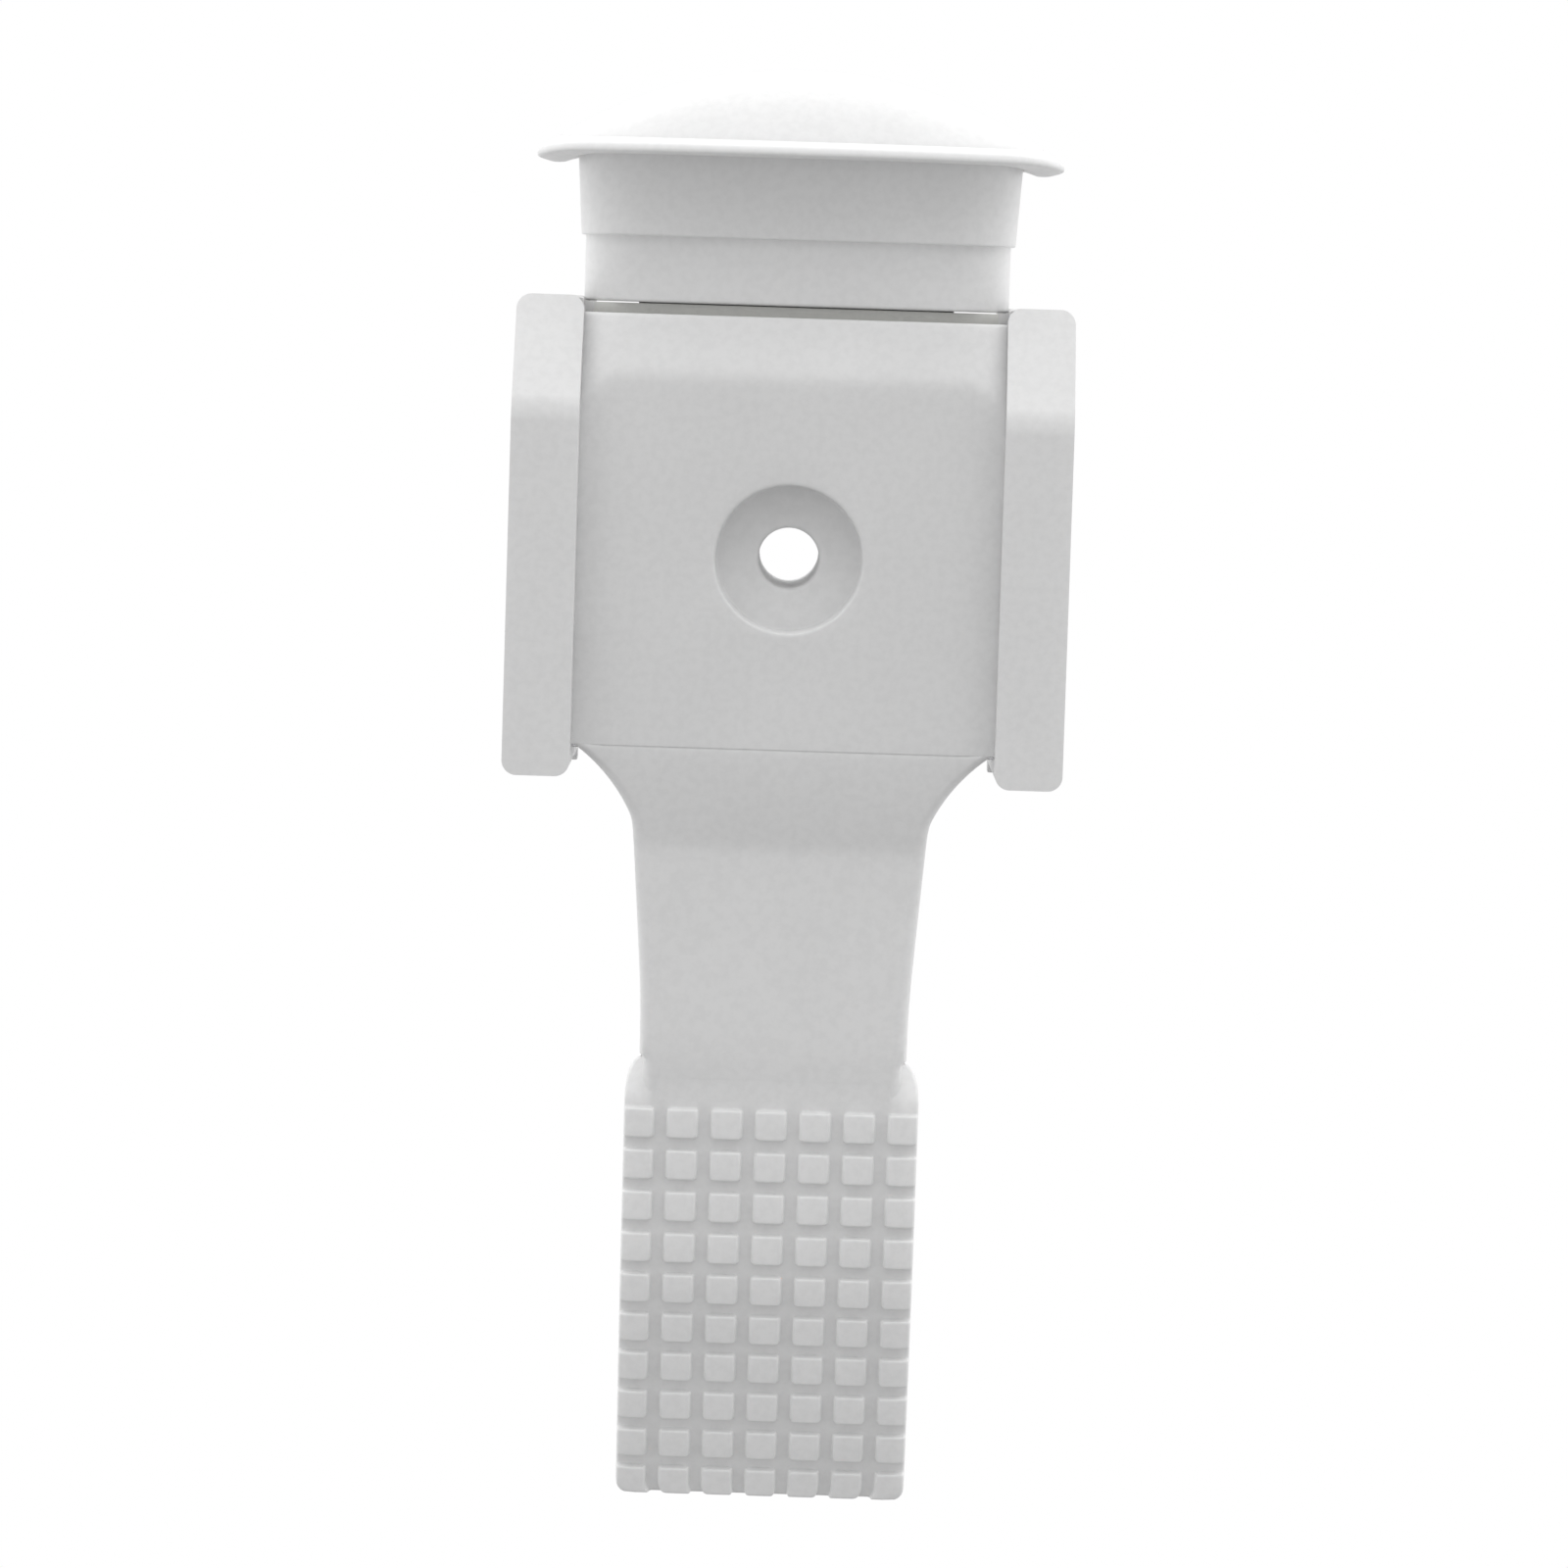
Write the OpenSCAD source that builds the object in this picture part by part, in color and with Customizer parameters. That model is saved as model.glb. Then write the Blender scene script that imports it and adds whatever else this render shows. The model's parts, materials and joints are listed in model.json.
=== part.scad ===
// Stair gate latch: a wall-screwed housing between two rails, a domed push button on top that lifts a
// drop bolt through a rocker, and a sprung release tongue that carries a catch hook.
// +Z is up, -Y is the front, and the origin is where the mounting screw's axis meets the wall.

/* [Housing and face plate] */
// Width across both rails
overall_w = 45.1; // [44:0.1:47]
// Width of one rail, seen from the front
rail_w = 5.45; // [5.2:0.05:5.6]
// Depth of the housing from the wall to the front of the rails
overall_d = 20; // [19.8:0.1:21]
// Top of the rails above the screw axis
rail_top_z = 20.7; // [20:0.1:20.7]
// Bottom of the rails below the screw axis
rail_bottom_z = -17.9; // [-19:0.1:-17.5]
// How far the face plate lies behind the front of the rails
plate_inset = 2; // [1.8:0.1:2.2]
// Thickness of the face plate
plate_t = 4.5; // [4.2:0.1:4.6]
// Top edge of the face plate
plate_top_z = 19.25; // [18.5:0.05:19.3]
// Bottom edge of the face plate
plate_bottom_z = -15.4; // [-15.5:0.05:-15.2]

/* [Mounting screw] */
// Diameter of the hole for the mounting screw
screw_hole_d = 4.9; // [4.5:0.1:5.2]
// Diameter of the flat-bottomed recess for the screw's head
recess_d = 11.9; // [10:0.1:12]
// Depth of the recess
recess_depth = 3; // [2.6:0.1:3.2]

/* [Button] */
// Top of the dome above the screw axis
dome_top_z = 39.4; // [38.5:0.1:41]
// Height of the dome above its lip
dome_h = 6; // [5:0.1:6.2]
// Width of the cap
cap_w = 42.1; // [40:0.1:44]
// Depth of the cap
cap_d = 19.8; // [19:0.1:20]
// Roundness of the cap's plan: 2 is an ellipse, more is squarer
cap_roundness = 2.5; // [2:0.1:3]
// Travel of the button
button_travel = 4.8; // [3:0.1:4.8]

/* [Release tongue] */
// Width of the tongue where it leaves the face plate
tongue_top_w = 24; // [23:0.1:25]
// Width of the tongue where it enters the grip
tongue_bottom_w = 21.1; // [20:0.1:21.2]
// Diameter of the steel pin that the tongue turns on
tongue_pin_d = 2.5; // [2:0.1:2.6]
// Width of the grip
grip_w = 24; // [23:0.1:25]
// Rows of nubs on the grip
nub_rows = 10; // [8:1:10]
// Columns of nubs on the grip
nub_columns = 7; // [5:1:7]
// Side of one nub
nub_side = 2.4; // [1.8:0.02:2.4]
// Height of one nub
nub_h = 0.8; // [0.4:0.1:0.9]

/* [Hidden] */
$fn = 64;
eps = 0.01;
gap = 0.1;
// Hairline between two pieces that are fixed to each other
hair = 0.02;
// Length of a cut that goes right through
through = 30;

white = "whitesmoke";
steel = "silver";
acetal = "gainsboro";
rubber = "dimgray";

// Housing, in the direction of depth: the wall is y = 0 and the front is negative.
rail_front_y = -overall_d;
rail_out_x = overall_w / 2;
rail_in_x = rail_out_x - rail_w;
plate_front_y = rail_front_y + plate_inset;
plate_back_y = plate_front_y + plate_t;
flange_back_y = plate_back_y + gap;
cover_t = 2;
channel_x = rail_in_x + 0.5;
rail_corner_r = 1.2;
rail_chamfer_h = 9;
rail_chamfer_d = 5;
plate_chamfer_h = 4.75;
plate_chamfer_d = 2;
plate_side_gap = 0.15;
plate_x = rail_in_x - plate_side_gap;
tab_top_z = 12;
tab_bottom_z = -8;
floor_bottom_z = -16.2;
floor_t = 2;
floor_front_y = -10.2;
cover_notch_x = 16.6;
cover_notch_z = 19.8;
shelf_in_x = 9.6;
shelf_top_z = 8;
shelf_t = 1.8;
shelf_front_y = -8;

// Countersunk screws of the back cover
cover_screw_x = (channel_x + rail_out_x) / 2;
cover_screw_zs = [-12, 14];
cover_screw_r = 1.3;
cover_screw_tip_y = -9;
cover_head_r = 2.2;
cover_head_h = 1.2;

// Screw axis and what turns on it
hole_r = screw_hole_d / 2;
boss_r = 4.5;
rocker_back_y = -3;
rocker_t = 3;
rocker_hub_r = 7;
rocker_bore_r = boss_r + 0.08;
rocker_arm_w = 3.8;
rocker_eye_r = 2.3;
clip_r = 5.8;
clip_t = 0.9;
pin_r = 1.25;
pin_orbit = 10;
pin_front_y = -11;
rest_angle = asin(button_travel / 2 / pin_orbit);
pin_rest_x = pin_orbit * cos(rest_angle);
pin_rest_z = button_travel / 2;
slot_mid_x = (pin_rest_x + pin_orbit) / 2;
slot_r = pin_r + 0.1;
slot_half = 0.3;

// Layer in front of the rocker, for the plunger's leg and the bolt carrier
layer_front_y = -11.2;
layer_back_y = -8.4;
slot_block_w = 5.3;
slot_block_h = 6;

// Button
dome_r = 36;
dome_seat_a = sqrt(dome_r * dome_r - pow(dome_r - dome_h, 2));
lip_top_z = dome_top_z - dome_h;
lip_t = 2;
cap_y = -0.3 - cap_d / 2;
skirt_w = 35.8;
skirt_front_y = -14;
skirt_back_y = -2.4;
skirt_bottom_z = 25.65;
neck_w = 34.7;
neck_front_y = plate_back_y + 0.3;
neck_back_y = -3.2;
neck_bottom_z = 20.3;
stem_wall = 1.6;
stem_corner_r = 4.4;
cavity_top_z = 33;
cap_screw_x = 4.5;
cap_screw_y = (neck_front_y + neck_back_y) / 2;
cap_screw_r = 1.25;
cap_screw_len = 9;
cap_head_r = 2.2;
cap_boss_r = 2.4;

// Plunger
flange_x = 16.4;
flange_front_y = -12.6;
flange_far_y = -3.8;
flange_bottom_z = 18.6;
flange_t = 1.6;
plug_h = 2;
plug_x = 12.8;

// Springs of the button
spring_x = 12.2;
spring_y = -5.4;
spring_mean_r = 2;
spring_wire_r = 0.28;
spring_turns = 6;
buffer_r = 1.3;
buffer_h = flange_bottom_z - button_travel - shelf_top_z - 0.2;

// Drop bolt
bolt_x0 = 6;
bolt_w = 4.4;
bolt_front_y = -8.3;
bolt_t = 2;
bolt_top_z = -7;
bolt_tip_z = -32;
bolt_mid_x = bolt_x0 + bolt_w / 2;
carrier_bottom_z = -12;
guide_play = 0.15;
guide_wall = 1.2;
guide_room = guide_play + guide_wall;
guide_lip = 0.6;
rivet_r = 0.75;
rivet_head_r = 1.15;
rivets = [[bolt_mid_x - 1, -8.4], [bolt_mid_x + 1, -10.2]];

// Release tongue
pivot_y = -13.9;
pivot_z = -14.6;
barrel_r = 3.3;
barrel_x = 12.8;
spring_bay_x = 4;
pin_half = 20;
tongue_front_y = -16.3;
tongue_t = 3;
shoulder_y = plate_front_y + gap;
shoulder_z = plate_bottom_z - 0.12;
ramp_end_z = -23.6;
flare_r = 14.2;
flare_tilt = 23;
flare_end_z = -21.5;
flare_x = tongue_top_w / 2 + flare_r * cos(flare_tilt);
flare_z = flare_end_z - flare_r * sin(flare_tilt);
flare_start = 180 - asin((shoulder_z - flare_z) / flare_r);
grip_top_z = -40.6;
core_w = 19.6;
core_t = 1.6;

// Grip: its front surface is a chain of straight runs, each [length, degrees back from upright]
sleeve_wall = 1;
nub_pitch = (grip_w - nub_side) / (nub_columns - 1);
row_pitch = 3.455;
grip_start = [tongue_front_y, grip_top_z];
first_row_s = 4.4;
grip_runs = [
    [first_row_s - 0.2 + 4 * row_pitch, 4], [4 * row_pitch, 14], [2 * row_pitch - 0.75, 17.5]
];
core_end = 1.8;
grip_corner_r = 1.2;

// Catch hook on the back of the tongue
hook_x0 = -9;
hook_w = 11;
hook_t = 1.4;
hook_base_y = tongue_front_y + tongue_t;
hook_back_y = -5.1;
hook_top_z = -23;
hook_foot_z = -36.5;
hook_end_z = -32;
nose_bite = 1.3;
nose_h = 2;
hook_screw_xs = [hook_x0 + 2.5, hook_x0 + hook_w - 2.5];
hook_screw_z = -34.4;
hook_screw_r = 0.9;
hook_screw_len = 2;
hook_head_r = 1.8;

// Torsion spring round the tongue's pin
torsion_wire_r = 0.35;
torsion_mean_r = 2.05;
torsion_turns = 6;
torsion_pitch = 0.95;
torsion_leg = 6.5;
torsion_half = torsion_turns * torsion_pitch / 2;
leg_groove = 0.7;

// Runs an XZ outline from y0 to y1, with y0 the nearer to the front
module front_plate(y0, y1) {
    translate([0, y1, 0]) rotate([90, 0, 0]) linear_extrude(y1 - y0) children();
}

// Runs a YZ outline from x0 to x1
module side_profile(x0, x1) {
    translate([x0, 0, 0]) rotate([90, 0, 90]) linear_extrude(x1 - x0) children();
}

// Round bar along Y
module y_rod(r, y0, y1, x = 0, z = 0) {
    translate([x, y1, z]) rotate([90, 0, 0]) cylinder(r = r, h = y1 - y0);
}

// Round bar along X
module x_rod(r, x0, x1, y, z) {
    translate([x0, y, z]) rotate([0, 90, 0]) cylinder(r = r, h = x1 - x0);
}

// Box between two corners
module span_box(low, high) {
    translate(low) cube(high - low);
}

// Rectangle from low to high with round corners
module round_rect(low, high, r) {
    translate([low.x + r, low.y]) square([high.x - low.x - 2 * r, high.y - low.y]);
    translate([low.x, low.y + r]) square([high.x - low.x, high.y - low.y - 2 * r]);
    for (x = [low.x + r, high.x - r], y = [low.y + r, high.y - r]) translate([x, y]) circle(r);
}

// Both sides of the middle plane
module both_sides() {
    children();
    mirror([1, 0, 0]) children();
}

// Mean of a list of points
function middle(points) = [for (p = points) 1] * points / len(points);

// Closed skin over rings of points that all have the same count, with a fan on each end
module loft(rings) {
    n = len(rings[0]);
    last = len(rings) - 1;
    first_mid = n * (last + 1);
    sides = [
        for (k = [0:last - 1], i = [0:n - 1]) let (j = (i + 1) % n, a = k * n, b = (k + 1) * n)
            each [[a + i, b + i, b + j], [a + i, b + j, a + j]]
    ];
    ends = [
        for (i = [0:n - 1]) let (j = (i + 1) % n)
            each [[i, j, first_mid], [last * n + j, last * n + i, first_mid + 1]]
    ];
    polyhedron(
        points = concat([for (ring = rings) each ring], [middle(rings[0]), middle(rings[last])]),
        faces = concat(sides, ends), convexity = 4
    );
}

// Points of a helix along Z, with one closed ring of wire round each
function helix_rings(mean_r, wire_r, height, turns, steps = 16, wire_sides = 6) = [
    for (k = [0:turns * steps]) let (a = 360 * k / steps, z = height * k / (turns * steps)) [
        for (i = [0:wire_sides - 1]) let (b = -360 * i / wire_sides, r = mean_r + wire_r * cos(b))
            [r * cos(a), r * sin(a), z + wire_r * sin(b)]
    ]
];

// Sign that keeps a superellipse in its own quadrant
function signed_pow(v, e) = sign(v) * pow(abs(v), e);

// One ring of the cap's plan at height z, with half axes a and b
function cap_ring(z, a, b, count = 56) = [
    for (i = [0:count - 1]) let (t = 360 * i / count, e = 2 / cap_roundness)
        [a * signed_pow(cos(t), e), cap_y + b * signed_pow(sin(t), e), z]
];

// Half width of the dome at height z
function dome_a(z) = sqrt(max(0, dome_r * dome_r - pow(z - dome_top_z + dome_r, 2)));

// Points of an arc round a centre
function arc(c, r, from, to, steps = 10) = [
    for (i = [0:steps]) let (t = from + (to - from) * i / steps) c + r * [cos(t), sin(t)]
];

// Direction along and out of the grip's front on a run at the given tilt, as [y, z]
function run_dir(tilt) = [sin(tilt), -cos(tilt)];
function run_out(tilt) = [-cos(tilt), -sin(tilt)];

// Index of the run that holds the distance s, and the start of run i
function run_start(i) = i == 0 ? grip_start
    : run_start(i - 1) + grip_runs[i - 1][0] * run_dir(grip_runs[i - 1][1]);
function run_s(i) = i == 0 ? 0 : run_s(i - 1) + grip_runs[i - 1][0];
function run_of(s) = s < run_s(1) ? 0 : s < run_s(2) ? 1 : 2;
function grip_point(s, inward) = let (i = run_of(s), tilt = grip_runs[i][1])
    run_start(i) + (s - run_s(i)) * run_dir(tilt) - inward * run_out(tilt);
grip_len = run_s(3);

// YZ outline between two depths under the grip's front, from s0 to s1
function grip_band(inward0, inward1, s0, s1) = concat(
    [for (s = [s0, run_s(1), run_s(2), s1]) grip_point(s, inward0)],
    [for (s = [s1, run_s(2), run_s(1), s0]) grip_point(s, inward1)]
);

module rail() {
    intersection() {
        front_plate(rail_front_y, -cover_t)
            round_rect([rail_in_x, rail_bottom_z], [rail_out_x, rail_top_z], rail_corner_r);
        side_profile(rail_in_x - 1, rail_out_x + 1) polygon([
            [-cover_t + 1, rail_bottom_z - 1], [rail_front_y, rail_bottom_z - 1],
            [rail_front_y, rail_top_z - rail_chamfer_h],
            [rail_front_y + rail_chamfer_d, rail_top_z], [-cover_t + 1, rail_top_z + 1]
        ]);
    }
}

module housing() {
    color(white) difference() {
        union() {
            both_sides() rail();
            span_box([-channel_x - 1, floor_front_y, floor_bottom_z],
                [channel_x + 1, -cover_t, floor_bottom_z + floor_t]);
            both_sides() span_box([shelf_in_x, shelf_front_y, shelf_top_z - shelf_t],
                [channel_x + 1, -cover_t, shelf_top_z]);
        }
        both_sides() {
            span_box([rail_in_x - 1, flange_back_y, floor_bottom_z + floor_t],
                [channel_x, 0, shelf_top_z - shelf_t]);
            span_box([rail_in_x - 1, flange_back_y, shelf_top_z], [channel_x, 0, rail_top_z + 1]);
            span_box([rail_in_x - 1, flange_back_y, shelf_top_z - shelf_t - 1],
                [channel_x, shelf_front_y, shelf_top_z + 1]);
            for (z = cover_screw_zs)
                y_rod(cover_screw_r + hair, cover_screw_tip_y - 0.5, 0, cover_screw_x, z);
        }
        x_rod(tongue_pin_d / 2 + hair, -pin_half - 0.1, pin_half + 0.1, pivot_y, pivot_z);
        span_box([bolt_x0 - guide_room, bolt_front_y - guide_room, floor_bottom_z - 1],
            [bolt_x0 + bolt_w + guide_room, bolt_front_y + bolt_t + guide_room,
            floor_bottom_z + floor_t + 1]);
    }
}

module face_plate() {
    color(white) difference() {
        union() {
            side_profile(-plate_x, plate_x) polygon([
                [plate_back_y, plate_bottom_z], [plate_front_y, plate_bottom_z],
                [plate_front_y, plate_top_z - plate_chamfer_h],
                [plate_front_y + plate_chamfer_d, plate_top_z], [plate_back_y, plate_top_z]
            ]);
            both_sides() span_box([plate_x - 1.5, plate_back_y - 1, tab_bottom_z],
                [plate_x - 0.05, flange_back_y + 1.2, tab_top_z]);
            both_sides() span_box([plate_x - 1.5, flange_back_y + gap, tab_bottom_z],
                [channel_x - gap, flange_back_y + 1.2, tab_top_z]);
        }
        y_rod(hole_r, plate_front_y - 1, plate_back_y + 1);
        y_rod(recess_d / 2, plate_front_y - 1, plate_front_y + recess_depth);
        x_rod(barrel_r + 0.12, -plate_x - 1, plate_x + 1, pivot_y, pivot_z);
    }
}

module back_cover() {
    color(white) difference() {
        union() {
            front_plate(-cover_t, 0) difference() {
                round_rect([-rail_out_x, rail_bottom_z], [rail_out_x, rail_top_z], rail_corner_r);
                translate([-cover_notch_x, cover_notch_z]) square([2 * cover_notch_x, 5]);
                translate([-rail_in_x, rail_bottom_z - 1])
                    square([2 * rail_in_x, floor_bottom_z - rail_bottom_z + 1]);
            }
            y_rod(boss_r, flange_back_y, -cover_t + eps);
        }
        y_rod(hole_r, plate_back_y - 1, 1);
        for (side = [-1, 1], z = cover_screw_zs) {
            y_rod(cover_screw_r + hair, -cover_t - 1, 1, side * cover_screw_x, z);
            translate([side * cover_screw_x, -cover_head_h - 0.05, z]) rotate([-90, 0, 0])
                cylinder(r1 = cover_screw_r + hair, r2 = cover_head_r + 0.1, h = cover_head_h + 0.06);
        }
    }
}

// Countersunk screw along Y with a cross recess: its head is flush with y = 0
module cover_screw() {
    difference() {
        union() {
            y_rod(cover_screw_r, cover_screw_tip_y, -cover_head_h);
            translate([0, -cover_head_h - 0.05, 0]) rotate([-90, 0, 0])
                cylinder(r1 = cover_screw_r, r2 = cover_head_r, h = cover_head_h);
        }
        for (a = [0, 90]) rotate([0, a, 0]) span_box([-1.4, -0.9, -0.25], [1.4, 1, 0.25]);
    }
}

module cover_screws() {
    color(steel) for (side = [-1, 1], z = cover_screw_zs)
        translate([side * cover_screw_x, 0, z]) cover_screw();
}

module flat_ring(outer_r, y0, y1) {
    difference() {
        y_rod(outer_r, y0, y1);
        y_rod(boss_r + 0.03, y0 - 1, y1 + 1);
    }
}

module thrust_washer() {
    color(acetal) flat_ring(rocker_hub_r, rocker_back_y + gap, -cover_t - gap);
}

module rocker_clip() {
    front_y = rocker_back_y - rocker_t;
    color(steel) difference() {
        flat_ring(clip_r, front_y - clip_t, front_y - gap);
        span_box([-1.4, front_y - 2, 0], [1.4, front_y + 1, 8]);
    }
}

module bolt_guide() {
    hole_low = [bolt_x0 - guide_play, bolt_front_y - guide_play, floor_bottom_z - 1];
    hole_high = [bolt_x0 + bolt_w + guide_play, bolt_front_y + bolt_t + guide_play, 0];
    wall = [guide_wall - hair, guide_wall - hair, 0];
    lip = [guide_wall + guide_lip, guide_wall + guide_lip - 0.2, 0];
    color(acetal) difference() {
        union() {
            span_box([hole_low.x, hole_low.y, floor_bottom_z] - wall,
                [hole_high.x, hole_high.y, floor_bottom_z + floor_t + 0.5] + wall);
            span_box([hole_low.x, hole_low.y, floor_bottom_z + floor_t + hair] - lip,
                [hole_high.x, hole_high.y, carrier_bottom_z - 0.3] + lip);
        }
        span_box(hole_low, hole_high);
    }
}

module tongue_pin() {
    color(steel) x_rod(tongue_pin_d / 2, -pin_half, pin_half, pivot_y, pivot_z);
}

module return_spring() {
    height = flange_bottom_z - shelf_top_z - 2 * spring_wire_r - 2 * hair;
    translate([spring_x, spring_y, shelf_top_z + spring_wire_r + hair])
        loft(helix_rings(spring_mean_r, spring_wire_r, height, spring_turns));
}

module return_spring_left() {
    color(steel) translate([-2 * spring_x, 0, 0]) return_spring();
}

module return_spring_right() {
    color(steel) return_spring();
}

module stop_buffers() {
    color(rubber) for (side = [-1, 1])
        translate([side * spring_x, spring_y, shelf_top_z]) cylinder(r = buffer_r, h = buffer_h);
}

module stem_outline(w, y0, y1, r = stem_corner_r) {
    round_rect([-w / 2, y0], [w / 2, y1], r);
}

module button_cap() {
    inset = cap_w / 2 - dome_seat_a;
    seat_b = cap_d / 2 - inset;
    dome_steps = 8;
    color(white) difference() {
        union() {
            loft(concat(
                [for (p = [[0, 1], [0.25, 0.35], [0.6, 0.05], [1.1, 0], [1.6, 0.35]])
                    cap_ring(lip_top_z - lip_t + p[0], cap_w / 2 - p[1], cap_d / 2 - p[1])],
                [for (i = [0:dome_steps]) let (t = 88.5 * i / dome_steps, k = cos(t),
                    a = dome_seat_a * k, z = dome_top_z - dome_r + sqrt(dome_r * dome_r - a * a))
                    cap_ring(z, a, seat_b * k)]
            ));
            translate([0, 0, skirt_bottom_z]) linear_extrude(lip_top_z - lip_t - skirt_bottom_z + 1)
                stem_outline(skirt_w, skirt_front_y, skirt_back_y);
            translate([0, 0, neck_bottom_z]) linear_extrude(skirt_bottom_z - neck_bottom_z + 1)
                stem_outline(neck_w, neck_front_y, neck_back_y);
        }
        difference() {
            translate([0, 0, neck_bottom_z - 1]) linear_extrude(cavity_top_z - neck_bottom_z + 1)
                stem_outline(neck_w - 2 * stem_wall, neck_front_y + stem_wall, neck_back_y - stem_wall,
                    stem_corner_r - stem_wall);
            for (side = [-1, 1])
                translate([side * cap_screw_x, cap_screw_y, flange_bottom_z + flange_t + plug_h + gap])
                    cylinder(r = cap_boss_r, h = through);
        }
        for (side = [-1, 1]) translate([side * cap_screw_x, cap_screw_y, neck_bottom_z])
            cylinder(r = cap_screw_r + hair, h = cap_screw_len);
    }
}

// Block with a level slot for a rocker pin, in the layer in front of the rocker
module slot_block(mid_x, pin_z) {
    difference() {
        span_box([mid_x - slot_block_w / 2, layer_front_y, pin_z - slot_block_h / 2],
            [mid_x + slot_block_w / 2, layer_back_y, pin_z + slot_block_h / 2]);
        for (dx = [-slot_half, slot_half])
            y_rod(slot_r, layer_front_y - 1, layer_back_y + 1, mid_x + dx, pin_z);
        span_box([mid_x - slot_half, layer_front_y - 1, pin_z - slot_r],
            [mid_x + slot_half, layer_back_y + 1, pin_z + slot_r]);
    }
}

module plunger() {
    flange_top_z = flange_bottom_z + flange_t;
    leg_w = 3.6;
    color(acetal) difference() {
        union() {
            span_box([-flange_x, flange_front_y, flange_bottom_z], [flange_x, flange_far_y, flange_top_z]);
            span_box([-plug_x, neck_front_y + stem_wall + 0.2, flange_top_z - eps],
                [plug_x, neck_back_y - stem_wall - 0.2, flange_top_z + plug_h]);
            slot_block(-slot_mid_x, pin_rest_z);
            span_box([-slot_mid_x - leg_w / 2, layer_front_y, pin_rest_z + slot_block_h / 2 - eps],
                [-slot_mid_x + leg_w / 2, layer_back_y, flange_bottom_z + eps]);
        }
        for (side = [-1, 1]) translate([side * cap_screw_x, cap_screw_y, flange_bottom_z - 1])
            cylinder(r = cap_screw_r + gap, h = cap_screw_len);
    }
}

module cap_screws() {
    color(steel) for (side = [-1, 1]) translate([side * cap_screw_x, cap_screw_y, 0]) {
        translate([0, 0, flange_bottom_z - 1.1]) difference() {
            cylinder(r = cap_head_r, h = 1.1 - hair);
            for (a = [0, 90]) rotate([0, 0, a]) span_box([-1.2, -0.22, -1], [1.2, 0.22, 0.6]);
        }
        translate([0, 0, flange_bottom_z - 0.1]) cylinder(r = cap_screw_r, h = cap_screw_len);
    }
}

module rocker() {
    color(acetal) rotate([0, rest_angle, 0]) difference() {
        front_plate(rocker_back_y - rocker_t, rocker_back_y) {
            circle(rocker_hub_r);
            translate([-pin_orbit, -rocker_arm_w / 2]) square([2 * pin_orbit, rocker_arm_w]);
            for (side = [-1, 1]) translate([side * pin_orbit, 0]) circle(rocker_eye_r);
        }
        y_rod(rocker_bore_r, -through, 0);
        for (side = [-1, 1]) y_rod(pin_r + hair, -through, 0, side * pin_orbit);
    }
}

module rocker_pin_left() {
    color(steel) y_rod(pin_r, pin_front_y, rocker_back_y - 0.05, -pin_rest_x, pin_rest_z);
}

module rocker_pin_right() {
    color(steel) y_rod(pin_r, pin_front_y, rocker_back_y - 0.05, pin_rest_x, -pin_rest_z);
}

module bolt_carrier() {
    color(acetal) difference() {
        union() {
            slot_block(slot_mid_x, -pin_rest_z);
            span_box([bolt_x0 - 0.2, layer_front_y, carrier_bottom_z],
                [bolt_x0 + bolt_w + 0.2, layer_back_y, -pin_rest_z - slot_block_h / 2 + eps]);
        }
        for (p = rivets) y_rod(rivet_r + hair, -through, 0, p.x, p.y);
    }
}

// Flat bar whose tip is bevelled on both sides
module drop_bolt() {
    bevel = 1.2;
    color(steel) difference() {
        front_plate(bolt_front_y, bolt_front_y + bolt_t) polygon([
            [bolt_x0, bolt_top_z], [bolt_x0, bolt_tip_z + bevel], [bolt_x0 + bevel, bolt_tip_z],
            [bolt_x0 + bolt_w - bevel, bolt_tip_z], [bolt_x0 + bolt_w, bolt_tip_z + bevel],
            [bolt_x0 + bolt_w, bolt_top_z]
        ]);
        for (p = rivets) y_rod(rivet_r + hair, -through, 0, p.x, p.y);
    }
}

module bolt_rivets() {
    color(steel) for (p = rivets) {
        y_rod(rivet_r, layer_front_y - 0.3, bolt_front_y + bolt_t, p.x, p.y);
        y_rod(rivet_head_r, layer_front_y - 0.5, layer_front_y - hair, p.x, p.y);
    }
}

// Front outline of the tongue: it flares to the width of the face plate through two hollow arcs
module tongue_outline() {
    both_sides() polygon(concat(
        [[0, plate_bottom_z + 8], [barrel_x, plate_bottom_z + 8], [barrel_x, shoulder_z]],
        arc([flare_x, flare_z], flare_r, flare_start, 180 - flare_tilt),
        [[tongue_bottom_w / 2, grip_top_z + 0.01], [core_w / 2, grip_top_z + 0.01],
            [core_w / 2, -3 * through], [0, -3 * through]]
    ));
}

module tongue_profile() {
    back_y = tongue_front_y + tongue_t;
    polygon(concat(
        [[shoulder_y, shoulder_z], [tongue_front_y, ramp_end_z], [tongue_front_y, grip_top_z + hair],
            [tongue_front_y + 0.5, grip_top_z + hair]],
        grip_band(sleeve_wall, sleeve_wall + core_t, 0, grip_len - core_end),
        [[back_y - 0.2, grip_top_z + hair], [back_y, grip_top_z + hair], [back_y, -20.6],
            [pivot_y + barrel_r - 0.9, -17], [pivot_y, pivot_z],
            [pivot_y - barrel_r + 0.4, shoulder_z]]
    ));
}

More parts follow.
